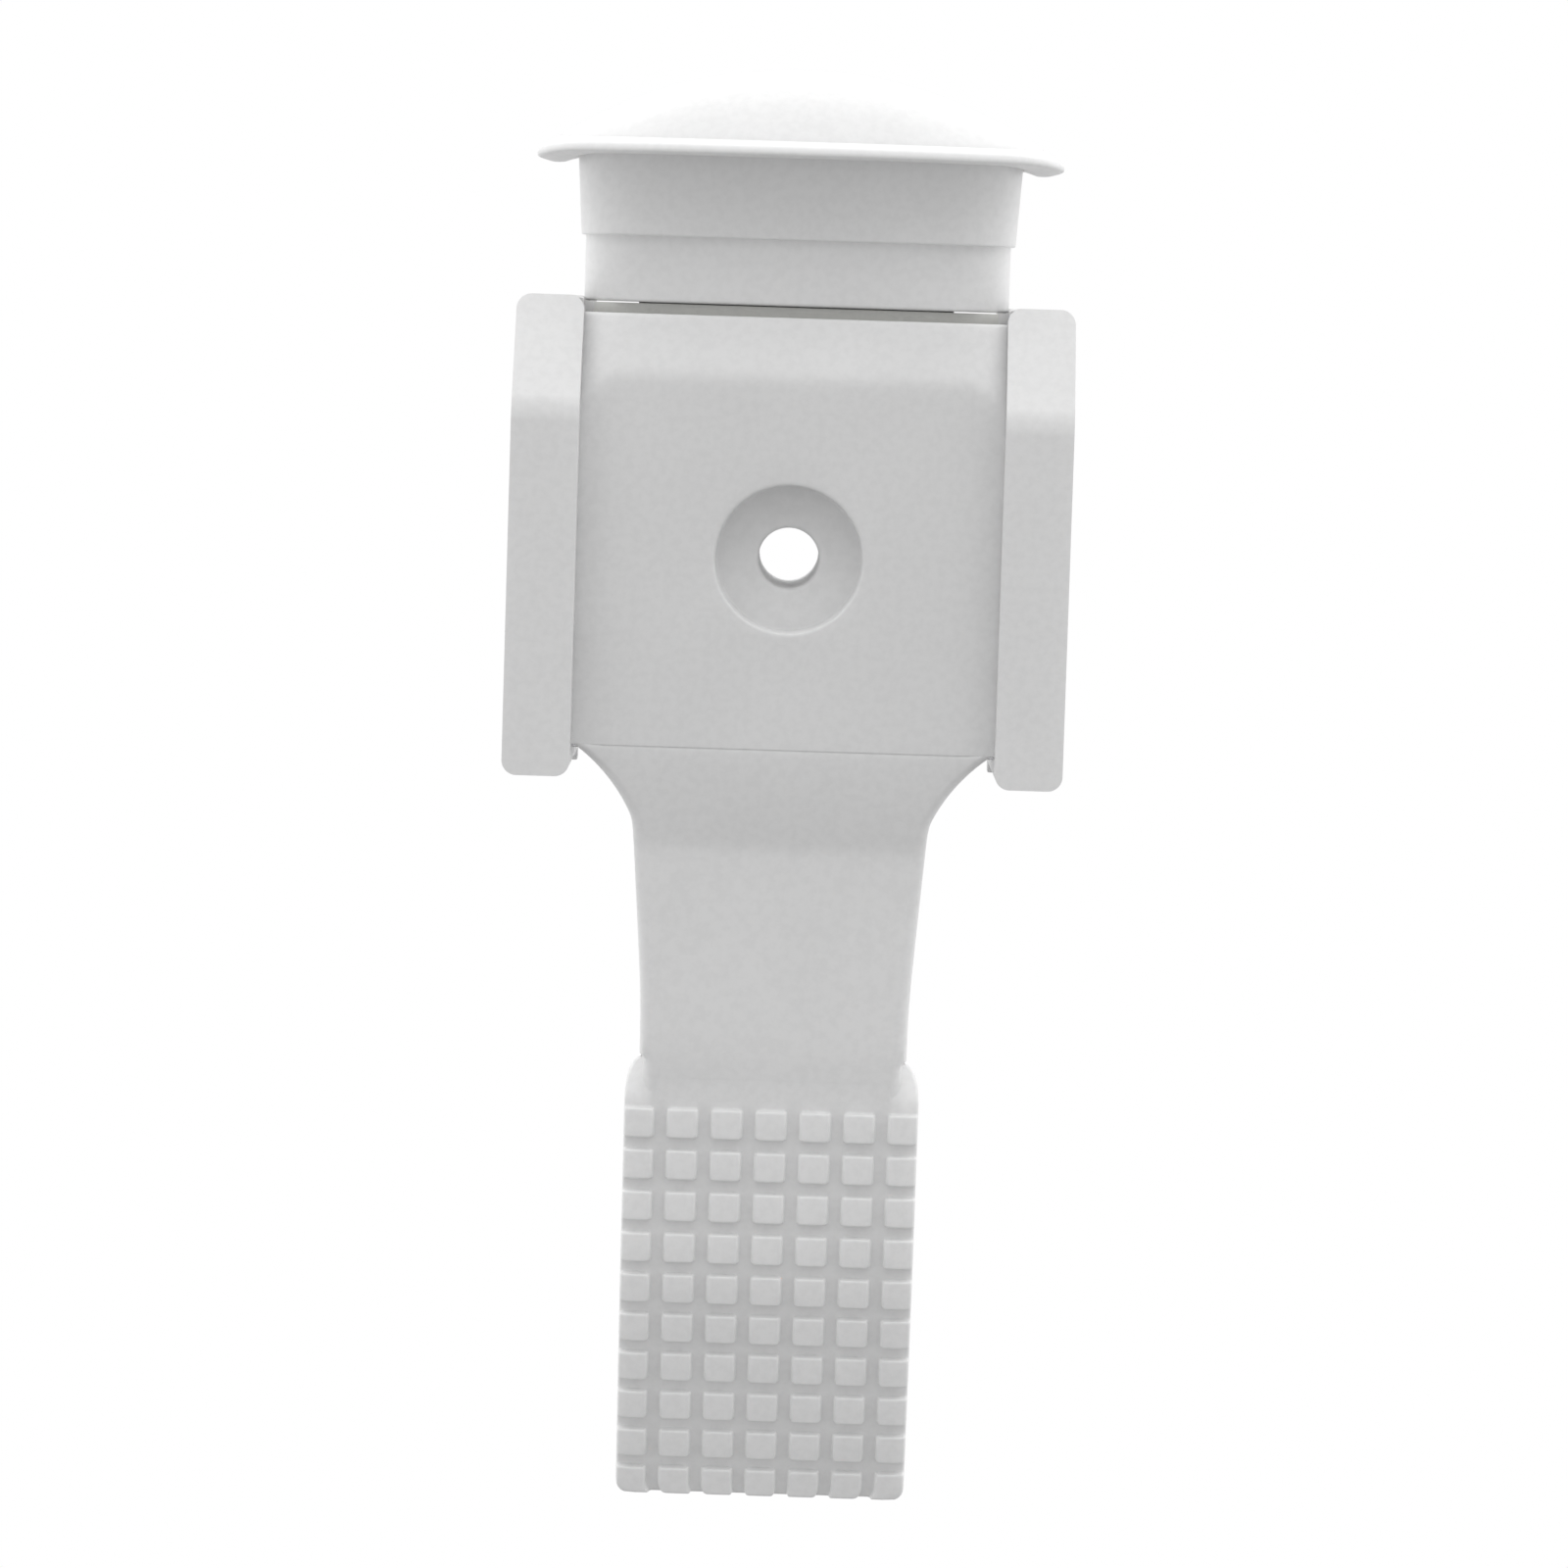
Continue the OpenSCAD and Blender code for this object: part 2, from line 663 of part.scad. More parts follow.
module release_tongue() {
    color(white) difference() {
        union() {
            intersection() {
                front_plate(-through, 0) tongue_outline();
                side_profile(-plate_x, plate_x) tongue_profile();
            }
            x_rod(barrel_r, -barrel_x, barrel_x, pivot_y, pivot_z);
        }
        x_rod(tongue_pin_d / 2 + 0.05, -through, through, pivot_y, pivot_z);
        x_rod(barrel_r + 0.3, -spring_bay_x, spring_bay_x, pivot_y, pivot_z);
        span_box([-torsion_half - leg_groove, pivot_y + torsion_mean_r - leg_groove,
            pivot_z - torsion_leg - 0.2], [-torsion_half + leg_groove, 0, pivot_z]);
        for (x = hook_screw_xs) y_rod(hook_screw_r + hair, hook_base_y - hook_screw_len - 0.2,
            hook_base_y + 1, x, hook_screw_z);
    }
}

// Soft sleeve on the end of the tongue, with a grid of square nubs on its front
module grip_sleeve() {
    color(white) {
        difference() {
            intersection() {
                side_profile(-grip_w / 2, grip_w / 2)
                    polygon(grip_band(0, 2 * sleeve_wall + core_t, 0, grip_len));
                front_plate(-through, 0)
                    round_rect([-grip_w / 2, -3 * through], [grip_w / 2, grip_top_z], grip_corner_r);
            }
            side_profile(-core_w / 2 - hair, core_w / 2 + hair) polygon(grip_band(
                sleeve_wall - hair, sleeve_wall + core_t + hair, -1, grip_len - core_end + hair));
        }
        for (row = [0:nub_rows - 1]) let (s = first_row_s + row * row_pitch, p = grip_point(s, 0.05))
            for (col = [0:nub_columns - 1])
                translate([(col - (nub_columns - 1) / 2) * nub_pitch - nub_side / 2, p.x, p.y])
                    rotate([grip_runs[run_of(s)][1], 0, 0])
                        translate([0, -nub_h - 0.05, -nub_side]) cube([nub_side, nub_h + 0.05, nub_side]);
    }
}

// Bent steel strip: a foot on the tongue, an arm towards the wall and a nose that faces the front
module catch_hook() {
    base_back_y = hook_base_y + hair + hook_t;
    inner_y = hook_back_y - hook_t;
    color(steel) difference() {
        side_profile(hook_x0, hook_x0 + hook_w) polygon([
            [hook_base_y + hair, hook_foot_z], [hook_base_y + hair, hook_top_z],
            [hook_back_y, hook_top_z], [hook_back_y, hook_end_z], [inner_y, hook_end_z],
            [inner_y - nose_bite, hook_end_z + nose_h], [inner_y, hook_end_z + nose_h],
            [inner_y, hook_top_z - hook_t], [base_back_y, hook_top_z - hook_t],
            [base_back_y, hook_foot_z]
        ]);
        for (x = hook_screw_xs) y_rod(hook_screw_r + gap, -through, 0, x, hook_screw_z);
    }
}

module hook_screws() {
    head_y = hook_base_y + hair + hook_t;
    color(steel) for (x = hook_screw_xs) translate([x, 0, hook_screw_z]) {
        y_rod(hook_screw_r, hook_base_y - hook_screw_len, head_y + 0.1);
        difference() {
            y_rod(hook_head_r, head_y + hair, head_y + 1);
            for (a = [0, 90]) rotate([0, a, 0])
                span_box([-1, head_y + 0.5, -0.18], [1, head_y + 2, 0.18]);
        }
    }
}

module tongue_spring() {
    leg_r = torsion_wire_r - hair;
    color(steel) translate([0, pivot_y, pivot_z]) {
        translate([-torsion_half, 0, 0]) rotate([90, 0, 0]) rotate([0, 90, 0])
            loft(helix_rings(torsion_mean_r, torsion_wire_r, 2 * torsion_half, torsion_turns));
        translate([-torsion_half, torsion_mean_r, -torsion_leg]) cylinder(r = leg_r, h = torsion_leg);
        translate([torsion_half, torsion_mean_r, 0]) cylinder(r = leg_r, h = torsion_leg);
    }
}

housing();
face_plate();
back_cover();
cover_screws();
thrust_washer();
rocker_clip();
bolt_guide();
tongue_pin();
return_spring_left();
return_spring_right();
stop_buffers();
button_cap();
plunger();
cap_screws();
rocker();
rocker_pin_left();
rocker_pin_right();
bolt_carrier();
drop_bolt();
bolt_rivets();
release_tongue();
grip_sleeve();
catch_hook();
hook_screws();
tongue_spring();
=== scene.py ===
"""Looks of the stair gate latch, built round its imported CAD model. Lengths in the builders are in
millimetres, in the CAD's own frame: +Z up, -Y to the front, origin on the mounting screw's axis."""

import json
import math

import bmesh
import bpy
from mathutils import Matrix, Vector


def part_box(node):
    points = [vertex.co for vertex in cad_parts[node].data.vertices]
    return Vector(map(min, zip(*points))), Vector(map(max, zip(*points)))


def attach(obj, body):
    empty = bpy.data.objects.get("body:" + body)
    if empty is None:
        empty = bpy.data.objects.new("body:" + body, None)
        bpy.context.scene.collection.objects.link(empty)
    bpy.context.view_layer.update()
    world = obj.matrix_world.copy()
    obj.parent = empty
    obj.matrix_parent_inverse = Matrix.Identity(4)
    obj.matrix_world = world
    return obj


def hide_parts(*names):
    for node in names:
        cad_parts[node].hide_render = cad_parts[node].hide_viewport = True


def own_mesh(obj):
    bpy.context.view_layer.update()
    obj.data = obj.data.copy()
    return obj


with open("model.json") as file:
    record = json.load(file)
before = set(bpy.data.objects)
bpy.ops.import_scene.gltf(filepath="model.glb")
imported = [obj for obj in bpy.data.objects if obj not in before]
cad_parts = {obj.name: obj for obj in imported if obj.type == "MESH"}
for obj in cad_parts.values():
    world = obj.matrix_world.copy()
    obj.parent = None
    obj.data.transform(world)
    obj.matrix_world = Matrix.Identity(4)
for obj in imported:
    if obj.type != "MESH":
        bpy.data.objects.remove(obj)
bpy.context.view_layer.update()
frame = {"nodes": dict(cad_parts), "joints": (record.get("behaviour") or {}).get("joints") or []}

MM = 0.001


def node_box(node):
    """Lowest and highest corner of a CAD node, in millimetres."""
    return [Vector(corner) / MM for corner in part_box(node)]


def joint(name):
    """A joint as the frame states it, in metres."""
    return next(j for j in frame["joints"] if j["name"] == name)


# ---------------------------------------------------------------- materials

def new_material(name):
    """A new material with its nodes, its links and its shader."""
    mat = bpy.data.materials.new(name)
    mat.use_nodes = True
    nodes = mat.node_tree.nodes
    return mat, nodes, mat.node_tree.links, nodes["Principled BSDF"]


def noise_node(nodes, links, coords, scale, detail=3.0, roughness=0.55, stretch=(1, 1, 1)):
    """Noise in object space, with a scale in features per metre."""
    mapping = nodes.new("ShaderNodeMapping")
    mapping.inputs["Scale"].default_value = stretch
    noise = nodes.new("ShaderNodeTexNoise")
    noise.inputs["Scale"].default_value = scale
    noise.inputs["Detail"].default_value = detail
    noise.inputs["Roughness"].default_value = roughness
    links.new(coords.outputs["Object"], mapping.inputs["Vector"])
    links.new(mapping.outputs["Vector"], noise.inputs["Vector"])
    return noise.outputs["Fac"]


def ramp_node(nodes, links, fac, stops):
    """Colour ramp with (position, value) stops, where a value is a grey or a colour."""
    ramp = nodes.new("ShaderNodeValToRGB")
    elements = ramp.color_ramp.elements
    while len(elements) < len(stops):
        elements.new(0.5)
    for element, (position, value) in zip(elements, stops):
        element.position = position
        element.color = (*value, 1) if isinstance(value, tuple) else (value, value, value, 1)
    links.new(fac, ramp.inputs["Fac"])
    return ramp.outputs["Color"]


def multiply_node(nodes, links, a, b, share=1.0):
    """Product of two colours; share says how much of it replaces the first one."""
    mix = nodes.new("ShaderNodeMix")
    mix.data_type = "RGBA"
    mix.blend_type = "MULTIPLY"
    mix.inputs[0].default_value = share
    links.new(a, mix.inputs[6])
    links.new(b, mix.inputs[7])
    return mix.outputs[2]


def bump_chain(nodes, links, shader, layers):
    """Bumps laid over each other: (height socket, strength, distance in metres)."""
    last = None
    for height, strength, distance in layers:
        bump = nodes.new("ShaderNodeBump")
        bump.inputs["Strength"].default_value = strength
        bump.inputs["Distance"].default_value = distance
        links.new(height, bump.inputs["Height"])
        if last is not None:
            links.new(last, bump.inputs["Normal"])
        last = bump.outputs["Normal"]
    links.new(last, shader.inputs["Normal"])


def moulded_plastic(name, tone, rough, grain=0.35, scatter=0.08, warmth=0.0):
    """White moulded plastic: spark-eroded grain, faint mottling, edges polished by handling, and concave
    creases darkened by painted shade with some dirt.
    """
    mat, nodes, links, shader = new_material(name)
    coords = nodes.new("ShaderNodeTexCoord")
    geometry = nodes.new("ShaderNodeNewGeometry")
    low = (tone - 0.018, tone - 0.018, tone - 0.018 - warmth)
    high = (tone + 0.012, tone + 0.012, tone + 0.012 - warmth)
    clouds = noise_node(nodes, links, coords, 95, 4.0)
    grit = noise_node(nodes, links, coords, 1500, 2.0)
    mottle = ramp_node(nodes, links, clouds, [(0.3, low), (0.7, high)])
    specks = ramp_node(nodes, links, grit, [(0.35, 0.965), (0.6, 1.0)])
    colour = multiply_node(nodes, links, mottle, specks)
    # Concave creases, found by the mesh's pointiness, are darkened: painted shade, with some dirt.
    crease_shade_and_dirt = ramp_node(nodes, links, geometry.outputs["Pointiness"], [(0.40, 0.90), (0.49, 1.0)])
    links.new(multiply_node(nodes, links, colour, crease_shade_and_dirt, 0.6), shader.inputs["Base Color"])
    patches = ramp_node(nodes, links, noise_node(nodes, links, coords, 160, 5.0, 0.6),
                        [(0.3, rough - 0.06), (0.7, rough + 0.07)])
    worn = ramp_node(nodes, links, geometry.outputs["Pointiness"], [(0.52, 1.0), (0.62, 0.72)])
    links.new(multiply_node(nodes, links, patches, worn), shader.inputs["Roughness"])
    shader.inputs["IOR"].default_value = 1.53
    shader.inputs["Subsurface Weight"].default_value = scatter
    shader.inputs["Subsurface Radius"].default_value = (1.0, 0.95, 0.9)
    shader.inputs["Subsurface Scale"].default_value = 0.0012
    bump_chain(nodes, links, shader, [
        (noise_node(nodes, links, coords, 120, 2.0), 0.18, 0.00006),
        (noise_node(nodes, links, coords, 4200, 3.0, 0.6), grain, 0.000012),
    ])
    return mat


def soft_elastomer(name, tone):
    """Soft white grip: matt, with a fine skin, a faint sheen, and darker where a mesh attribute says:
    painted shade in its grooves and on its nubs' upper sides.
    """
    mat = moulded_plastic(name, tone, 0.62, grain=0.5, scatter=0.1)
    nodes, links = mat.node_tree.nodes, mat.node_tree.links
    shader = nodes["Principled BSDF"]
    shader.inputs["Sheen Weight"].default_value = 0.08
    # The mesh attribute holds painted shade for the grooves and the nubs' upper sides, and a darker tone in
    # the middle above the nubs.
    painted_shade_and_tone = nodes.new("ShaderNodeAttribute")
    painted_shade_and_tone.attribute_name = "painted_shade_and_tone"
    kept_colour = ramp_node(nodes, links, painted_shade_and_tone.outputs["Fac"], [(0.0, 1.0), (1.0, 0.0)])
    plain = shader.inputs["Base Color"].links[0].from_socket
    links.new(multiply_node(nodes, links, plain, kept_colour), shader.inputs["Base Color"])
    return mat


def plated_steel(name, colour, rough, stretch):
    """Zinc-plated steel with drawn streaks along one axis and dull patches."""
    mat, nodes, links, shader = new_material(name)
    coords = nodes.new("ShaderNodeTexCoord")
    dark = tuple(c * 0.9 for c in colour)
    streaks = noise_node(nodes, links, coords, 900, 4.0, 0.7, stretch)
    patches = noise_node(nodes, links, coords, 260, 5.0, 0.6)
    drawn = ramp_node(nodes, links, streaks, [(0.3, dark), (0.65, colour)])
    links.new(drawn, shader.inputs["Base Color"])
    links.new(ramp_node(nodes, links, patches, [(0.3, rough - 0.08), (0.7, rough + 0.12)]),
              shader.inputs["Roughness"])
    shader.inputs["Metallic"].default_value = 1.0
    shader.inputs["Anisotropic"].default_value = 0.35
    bump_chain(nodes, links, shader, [(streaks, 0.12, 0.000006)])
    return mat


def black_rubber(name):
    """Black rubber with a grey bloom."""
    mat, nodes, links, shader = new_material(name)
    coords = nodes.new("ShaderNodeTexCoord")
    bloom = noise_node(nodes, links, coords, 500, 5.0, 0.65)
    tone = ramp_node(nodes, links, bloom, [(0.35, 0.018), (0.75, 0.05)])
    links.new(tone, shader.inputs["Base Color"])
    links.new(ramp_node(nodes, links, bloom, [(0.3, 0.6), (0.7, 0.85)]), shader.inputs["Roughness"])
    bump_chain(nodes, links, shader, [(noise_node(nodes, links, coords, 2500), 0.5, 0.00002)])
    return mat


ALONG_X, ALONG_Y, ALONG_Z = (0.04, 1, 1), (1, 0.04, 1), (1, 1, 0.04)
SHELL = moulded_plastic("shell_white", 0.855, 0.46)
# The face plate gets a darker copy of the white shell plastic: painted shade from the rails and the cap
# around it.
SHADED_PLATE = moulded_plastic("plate_white_shaded", 0.825, 0.46)
BUTTON = moulded_plastic("button_white", 0.868, 0.42, grain=0.25)
GRIP = soft_elastomer("grip_white", 0.91)
ACETAL = moulded_plastic("acetal_natural", 0.74, 0.36, grain=0.12, scatter=0.2, warmth=0.03)
STEEL = plated_steel("zinc_plate", (0.74, 0.75, 0.77), 0.3, ALONG_Z)
STEEL_PIN = plated_steel("ground_pin", (0.78, 0.78, 0.8), 0.22, ALONG_X)
WIRE = plated_steel("spring_wire", (0.5, 0.5, 0.53), 0.34, ALONG_Y)
RUBBER = black_rubber("buffer_rubber")


# ---------------------------------------------------------------- mesh building

def crease_by_angle(mesh, degrees=50):
    """Smooth shading everywhere except over edges that turn by more than the angle."""
    bm = bmesh.new()
    bm.from_mesh(mesh)
    for face in bm.faces:
        face.smooth = True
    for edge in bm.edges:
        edge.smooth = edge.calc_face_angle(0.0) < math.radians(degrees)
    bm.to_mesh(mesh)
    bm.free()


def add_piece(name, bm, body, material, stands_for):
    """Turns a bmesh in millimetres into a smooth object that rides on a body for the named CAD nodes."""
    bmesh.ops.recalc_face_normals(bm, faces=bm.faces)
    bmesh.ops.scale(bm, vec=(MM, MM, MM), verts=bm.verts)
    mesh = bpy.data.meshes.new(name)
    bm.to_mesh(mesh)
    bm.free()
    crease_by_angle(mesh)
    obj = bpy.data.objects.new(name, mesh)
    bpy.context.collection.objects.link(obj)
    mesh.materials.append(material)
    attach(obj, body)
    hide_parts(*stands_for)
    return obj


def skin(bm, rings):
    """Quads between rings of points, with a fan on each end."""
    rows = [[bm.verts.new(p) for p in ring] for ring in rings]
    count = len(rows[0])
    for row, after in zip(rows, rows[1:]):
        for i in range(count):
            j = (i + 1) % count
            bm.faces.new((row[i], row[j], after[j], after[i]))
    for row in (rows[0], rows[-1]):
        middle = bm.verts.new(sum((v.co for v in row), Vector()) / count)
        for i in range(count):
            bm.faces.new((row[i], row[(i + 1) % count], middle))


def eased_path(stations, steps=6):
    """Rounds the corners of a path of (values, radius) stations, whose values all have the same length.
    The largest change of any value stands for the distance between two stations. The radius of the first
    and the last station isn't used."""
    def span(a, b):
        return max(abs(p - q) for p, q in zip(a, b))

    def lerp(a, b, t):
        return tuple(p + (q - p) * t for p, q in zip(a, b))

    out = [stations[0][0]]
    for (a, _), (corner, radius), (b, _) in zip(stations, stations[1:], stations[2:]):
        start = lerp(corner, a, min(0.49, radius / span(a, corner)))
        end = lerp(corner, b, min(0.49, radius / span(b, corner)))
        for k in range(steps + 1):
            t = k / steps
            out.append(lerp(lerp(start, corner, t), lerp(corner, end, t), t))
    out.append(stations[-1][0])
    return out


def smooth(t):
    """Soft step from 0 to 1 while t goes from 0 to 1."""
    t = min(1.0, max(0.0, t))
    return t * t * (3 - 2 * t)


def smooth_max(a, b, blend):
    """The larger of two values, blended where they are close."""
    top = max(a, b)
    return top + blend * math.log(math.exp((a - top) / blend) + math.exp((b - top) / blend))


def round_over(depth, r):
    """How far a rounded edge falls away at a distance from the edge's plane."""
    return r - math.sqrt(r * r - (r - min(r, max(0.0, depth))) ** 2)


def corner_fall(depth, width, height):
    """How far an edge rounded to a quarter ellipse falls away at a distance from the edge's plane."""
    return height * (1 - math.sqrt(max(0.0, 1 - (1 - min(1.0, depth / width)) ** 2)))


def arc_points(cx, cy, r, start, end, steps):
    """Points of an arc in degrees, without its last point."""
    angles = [math.radians(start + (end - start) * k / steps) for k in range(steps)]
    return [(cx + r * math.cos(a), cy + r * math.sin(a)) for a in angles]


def line_points(a, b, steps):
    """Points of a straight run, without its last point."""
    run = (b[0] - a[0], b[1] - a[1])
    return [(a[0] + run[0] * k / steps, a[1] + run[1] * k / steps) for k in range(steps)]


def round_rect(half_x, y0, y1, r, side=10, corner=12, top=22):
    """Outline of a rectangle with round corners, counter-clockwise from the middle of its +X side."""
    mid = (y0 + y1) / 2
    inner = half_x - r
    low, high = y0 + r, y1 - r
    runs = [
        line_points((half_x, mid), (half_x, high), side),
        arc_points(inner, high, r, 0, 90, corner),
        line_points((inner, y1), (0, y1), top),
        line_points((0, y1), (-inner, y1), top),
        arc_points(-inner, high, r, 90, 180, corner),
        line_points((-half_x, high), (-half_x, mid), side),
        line_points((-half_x, mid), (-half_x, low), side),
        arc_points(-inner, low, r, 180, 270, corner),
        line_points((-inner, y0), (0, y0), top),
        line_points((0, y0), (inner, y0), top),
        arc_points(inner, low, r, 270, 360, corner),
        line_points((half_x, low), (half_x, mid), side),
    ]
    return [p for run in runs for p in run]


RING_COUNT = len(round_rect(10, -5, 5, 1))


def super_ring(a, b, y_mid, exponent):
    """Superellipse with as many points as round_rect gives."""
    out = []
    for k in range(RING_COUNT):
        t = 2 * math.pi * k / RING_COUNT
        c, s = math.cos(t), math.sin(t)
        out.append((a * math.copysign(abs(c) ** (2 / exponent), c),
                    y_mid + b * math.copysign(abs(s) ** (2 / exponent), s)))
    return out


def lift(ring, z):
    """A flat outline as points at one height."""
    return [Vector((x, y, z)) for x, y in ring]


def boolean(obj, other_bm, operation):
    """Cuts or joins a bmesh in millimetres into an object's mesh."""
    bmesh.ops.recalc_face_normals(other_bm, faces=other_bm.faces)
    bmesh.ops.scale(other_bm, vec=(MM, MM, MM), verts=other_bm.verts)
    mesh = bpy.data.meshes.new("tool")
    other_bm.to_mesh(mesh)
    other_bm.free()
    tool = bpy.data.objects.new("tool", mesh)
    bpy.context.collection.objects.link(tool)
    mod = obj.modifiers.new("cut", "BOOLEAN")
    mod.solver = "EXACT"
    mod.operation = operation
    mod.object = tool
    graph = bpy.context.evaluated_depsgraph_get()
    result = bpy.data.meshes.new_from_object(obj.evaluated_get(graph))
    obj.modifiers.remove(mod)
    obj.data = result
    bpy.data.objects.remove(tool)
    crease_by_angle(obj.data)


def lathe_y(profile, sides=96):
    """Solid turned about the Y axis from (radius, y) points; the first and last lie on the axis."""
    bm = bmesh.new()
    angles = [2 * math.pi * k / sides for k in range(sides)]
    rings = [[Vector((r * math.cos(a), y, r * math.sin(a))) for a in angles] for r, y in profile[1:-1]]
    skin(bm, rings)
    return bm


def rod(bm, r, start, end, sides=48):
    """Round bar between two points, in millimetres."""
    start, end = Vector(start), Vector(end)
    turn = (end - start).to_track_quat("Z", "Y").to_matrix().to_4x4()
    place = Matrix.Translation((start + end) / 2) @ turn
    bmesh.ops.create_cone(bm, cap_ends=True, segments=sides, radius1=r, radius2=r,
                          depth=(end - start).length, matrix=place)


def block(centre, size):
    """Box about a point, in millimetres."""
    bm = bmesh.new()
    place = Matrix.Translation(centre) @ Matrix.Diagonal((*size, 1))
    bmesh.ops.create_cube(bm, size=1, matrix=place)
    return bm


def soften(obj, width, segments, angle=18):
    """Rounds an object's sharp edges and evens its shading over the flats."""
    bevel = obj.modifiers.new("edges", "BEVEL")
    bevel.width = width * MM
    bevel.segments = segments
    bevel.limit_method = "ANGLE"
    bevel.angle_limit = math.radians(angle)
    bevel.harden_normals = True
    bevel.use_clamp_overlap = True


def finish_node(node, material, width=0.15, segments=2, soft_edge=None):
    """Gives a CAD node its material, clean flats and softly rounded edges. soft_edge is (test, width): the
    edges whose two ends pass the test are rounded more."""
    obj = frame["nodes"][node]
    for held in obj.material_slots:
        held.material = material
    weld = obj.modifiers.new("weld", "WELD")
    weld.merge_threshold = 0.002 * MM
    flat = obj.modifiers.new("flats", "DECIMATE")
    flat.decimate_type = "DISSOLVE"
    flat.angle_limit = math.radians(0.6)
    for polygon in obj.data.polygons:
        polygon.use_smooth = True
    if soft_edge:
        test, soft_width = soft_edge
        group = obj.vertex_groups.new(name="soft_edge")
        place = obj.matrix_world
        chosen = [v.index for v in obj.data.vertices if test(place @ v.co / MM)]
        group.add(chosen, 1.0, "REPLACE")
        soften(obj, soft_width, 6)
        obj.modifiers[-1].limit_method = "VGROUP"
        obj.modifiers[-1].vertex_group = "soft_edge"
    soften(obj, width, segments)
    even = obj.modifiers.new("even", "WEIGHTED_NORMAL")
    even.keep_sharp = True


# ---------------------------------------------------------------- button

CAP_LOW, CAP_HIGH = node_box("button_cap")
CAP_MID_Y = (CAP_LOW.y + CAP_HIGH.y) / 2
CAP_A = CAP_HIGH.x + 0.4
CAP_B = (CAP_HIGH.y - CAP_LOW.y) / 2
CAP_EXPONENT = 2.1
DOME_TOP = CAP_HIGH.z
DOME_H = 6.0
DOME_R = 36.0
LIP_T = 2.0
LIP_TOP = DOME_TOP - DOME_H
LIP_UNDER = LIP_TOP - LIP_T
# How much higher the lip's lower edge is along the front and back than at its two ends
LIP_RISE = 0.7
FRONT_UNDER = LIP_UNDER + LIP_RISE
# Where the dome meets the lip, inward from the lip's edge
SEAT_INSET = CAP_A - math.sqrt(DOME_R ** 2 - (DOME_R - DOME_H) ** 2)
DOME_RINGS = 30
SKIRT_BOTTOM = 25.65
NECK_BOTTOM = CAP_LOW.z
STEM_R = 4.4
STEM_WALL = 1.6
CAVITY_TOP = 30.2
# Half width, front and back of the neck, and of the skirt at its lower and its upper end
NECK_SIZE = (17.35, -13.2, -3.2)
SKIRT_LOW_SIZE = (17.72, -14.0, -2.4)
SKIRT_HIGH_SIZE = (18.15, -14.2, -2.3)
# The two bosses for the cap's screws
BOSS_X, BOSS_Y, BOSS_R, BOSS_BOTTOM = 4.5, -8.2, 2.4, 22.4


def stem_rings():
    """Skin of the stem: down the inside of its hollow, and up its outside to the lip."""
    half, front, back = NECK_SIZE
    hollow = (half - STEM_WALL, front + STEM_WALL, back - STEM_WALL, STEM_R - STEM_WALL)
    # (half width, front, back, corner radius, height)
    stations = eased_path([
        ((*hollow, CAVITY_TOP), 0),
        ((*hollow, NECK_BOTTOM), 0.4),
        ((*NECK_SIZE, STEM_R, NECK_BOTTOM), 0.3),
        ((*NECK_SIZE, STEM_R, SKIRT_BOTTOM), 0.12),
        ((*SKIRT_LOW_SIZE, STEM_R + 0.6, SKIRT_BOTTOM), 0.22),
        ((*SKIRT_HIGH_SIZE, STEM_R + 1.4, FRONT_UNDER + 0.1), 0),
    ])
    return [lift(round_rect(half_x, y0, y1, r), z) for half_x, y0, y1, r, z in stations]


def lip_ring(inset, end_z, front_z):
    """Ring of the cap's plan that lies at one height at its ends and at another along its front."""
    ring = []
    for i, (x, y) in enumerate(super_ring(CAP_A - inset, CAP_B - inset, CAP_MID_Y, CAP_EXPONENT)):
        away_from_end = smooth(abs(math.sin(2 * math.pi * i / RING_COUNT)) / 0.6)
        ring.append(Vector((x, y, end_z + (front_z - end_z) * away_from_end)))
    return ring


def lip_rings():
    """Skin of the lip: from under it, round its edge and up to the foot of the dome."""
    # (inset from the lip's edge, height at the ends, height along the front)
    stations = eased_path([
        ((2.2, LIP_UNDER + 0.05, FRONT_UNDER + 0.05), 0),
        ((1.4, LIP_UNDER, FRONT_UNDER), 0.6),
        ((0.05, LIP_UNDER + 0.4, FRONT_UNDER + 0.12), 0.4),
        ((0.0, LIP_UNDER + 0.8, FRONT_UNDER + 0.45), 0.3),
        ((0.3, LIP_UNDER + 1.2, FRONT_UNDER + 0.95), 0.4),
        ((SEAT_INSET, LIP_TOP, LIP_TOP), 0.6),
        ((SEAT_INSET + 0.8, LIP_TOP + 0.5, LIP_TOP + 0.5), 0),
    ], steps=8)
    return [lip_ring(*station) for station in stations[:-1]]


def dome_rings():
    """Skin of the dome: an arc across the latch, narrower from front to back."""
    rings = []
    for k in range(1, DOME_RINGS + 1):
        share = math.cos(math.radians(89.2 * k / DOME_RINGS))
        a = (CAP_A - SEAT_INSET) * share
        b = (CAP_B - SEAT_INSET) * share
        z = DOME_TOP - DOME_R + math.sqrt(DOME_R ** 2 - a ** 2)
        exponent = 2.0 + (CAP_EXPONENT - 2.0) * share
        rings.append(lift(super_ring(a, b, CAP_MID_Y, exponent), z))
    return rings


def build_button():
    """Cap and hollow stem in one closed skin, with two screw bosses in the hollow."""
    bm = bmesh.new()
    skin(bm, stem_rings() + lip_rings() + dome_rings())
    button = add_piece("button_cap", bm, "button", BUTTON, ["button_cap"])
    bosses = bmesh.new()
    for x in (-BOSS_X, BOSS_X):
        rod(bosses, BOSS_R, (x, BOSS_Y, BOSS_BOTTOM), (x, BOSS_Y, CAVITY_TOP + 0.5))
    boolean(button, bosses, "UNION")


# ---------------------------------------------------------------- face plate

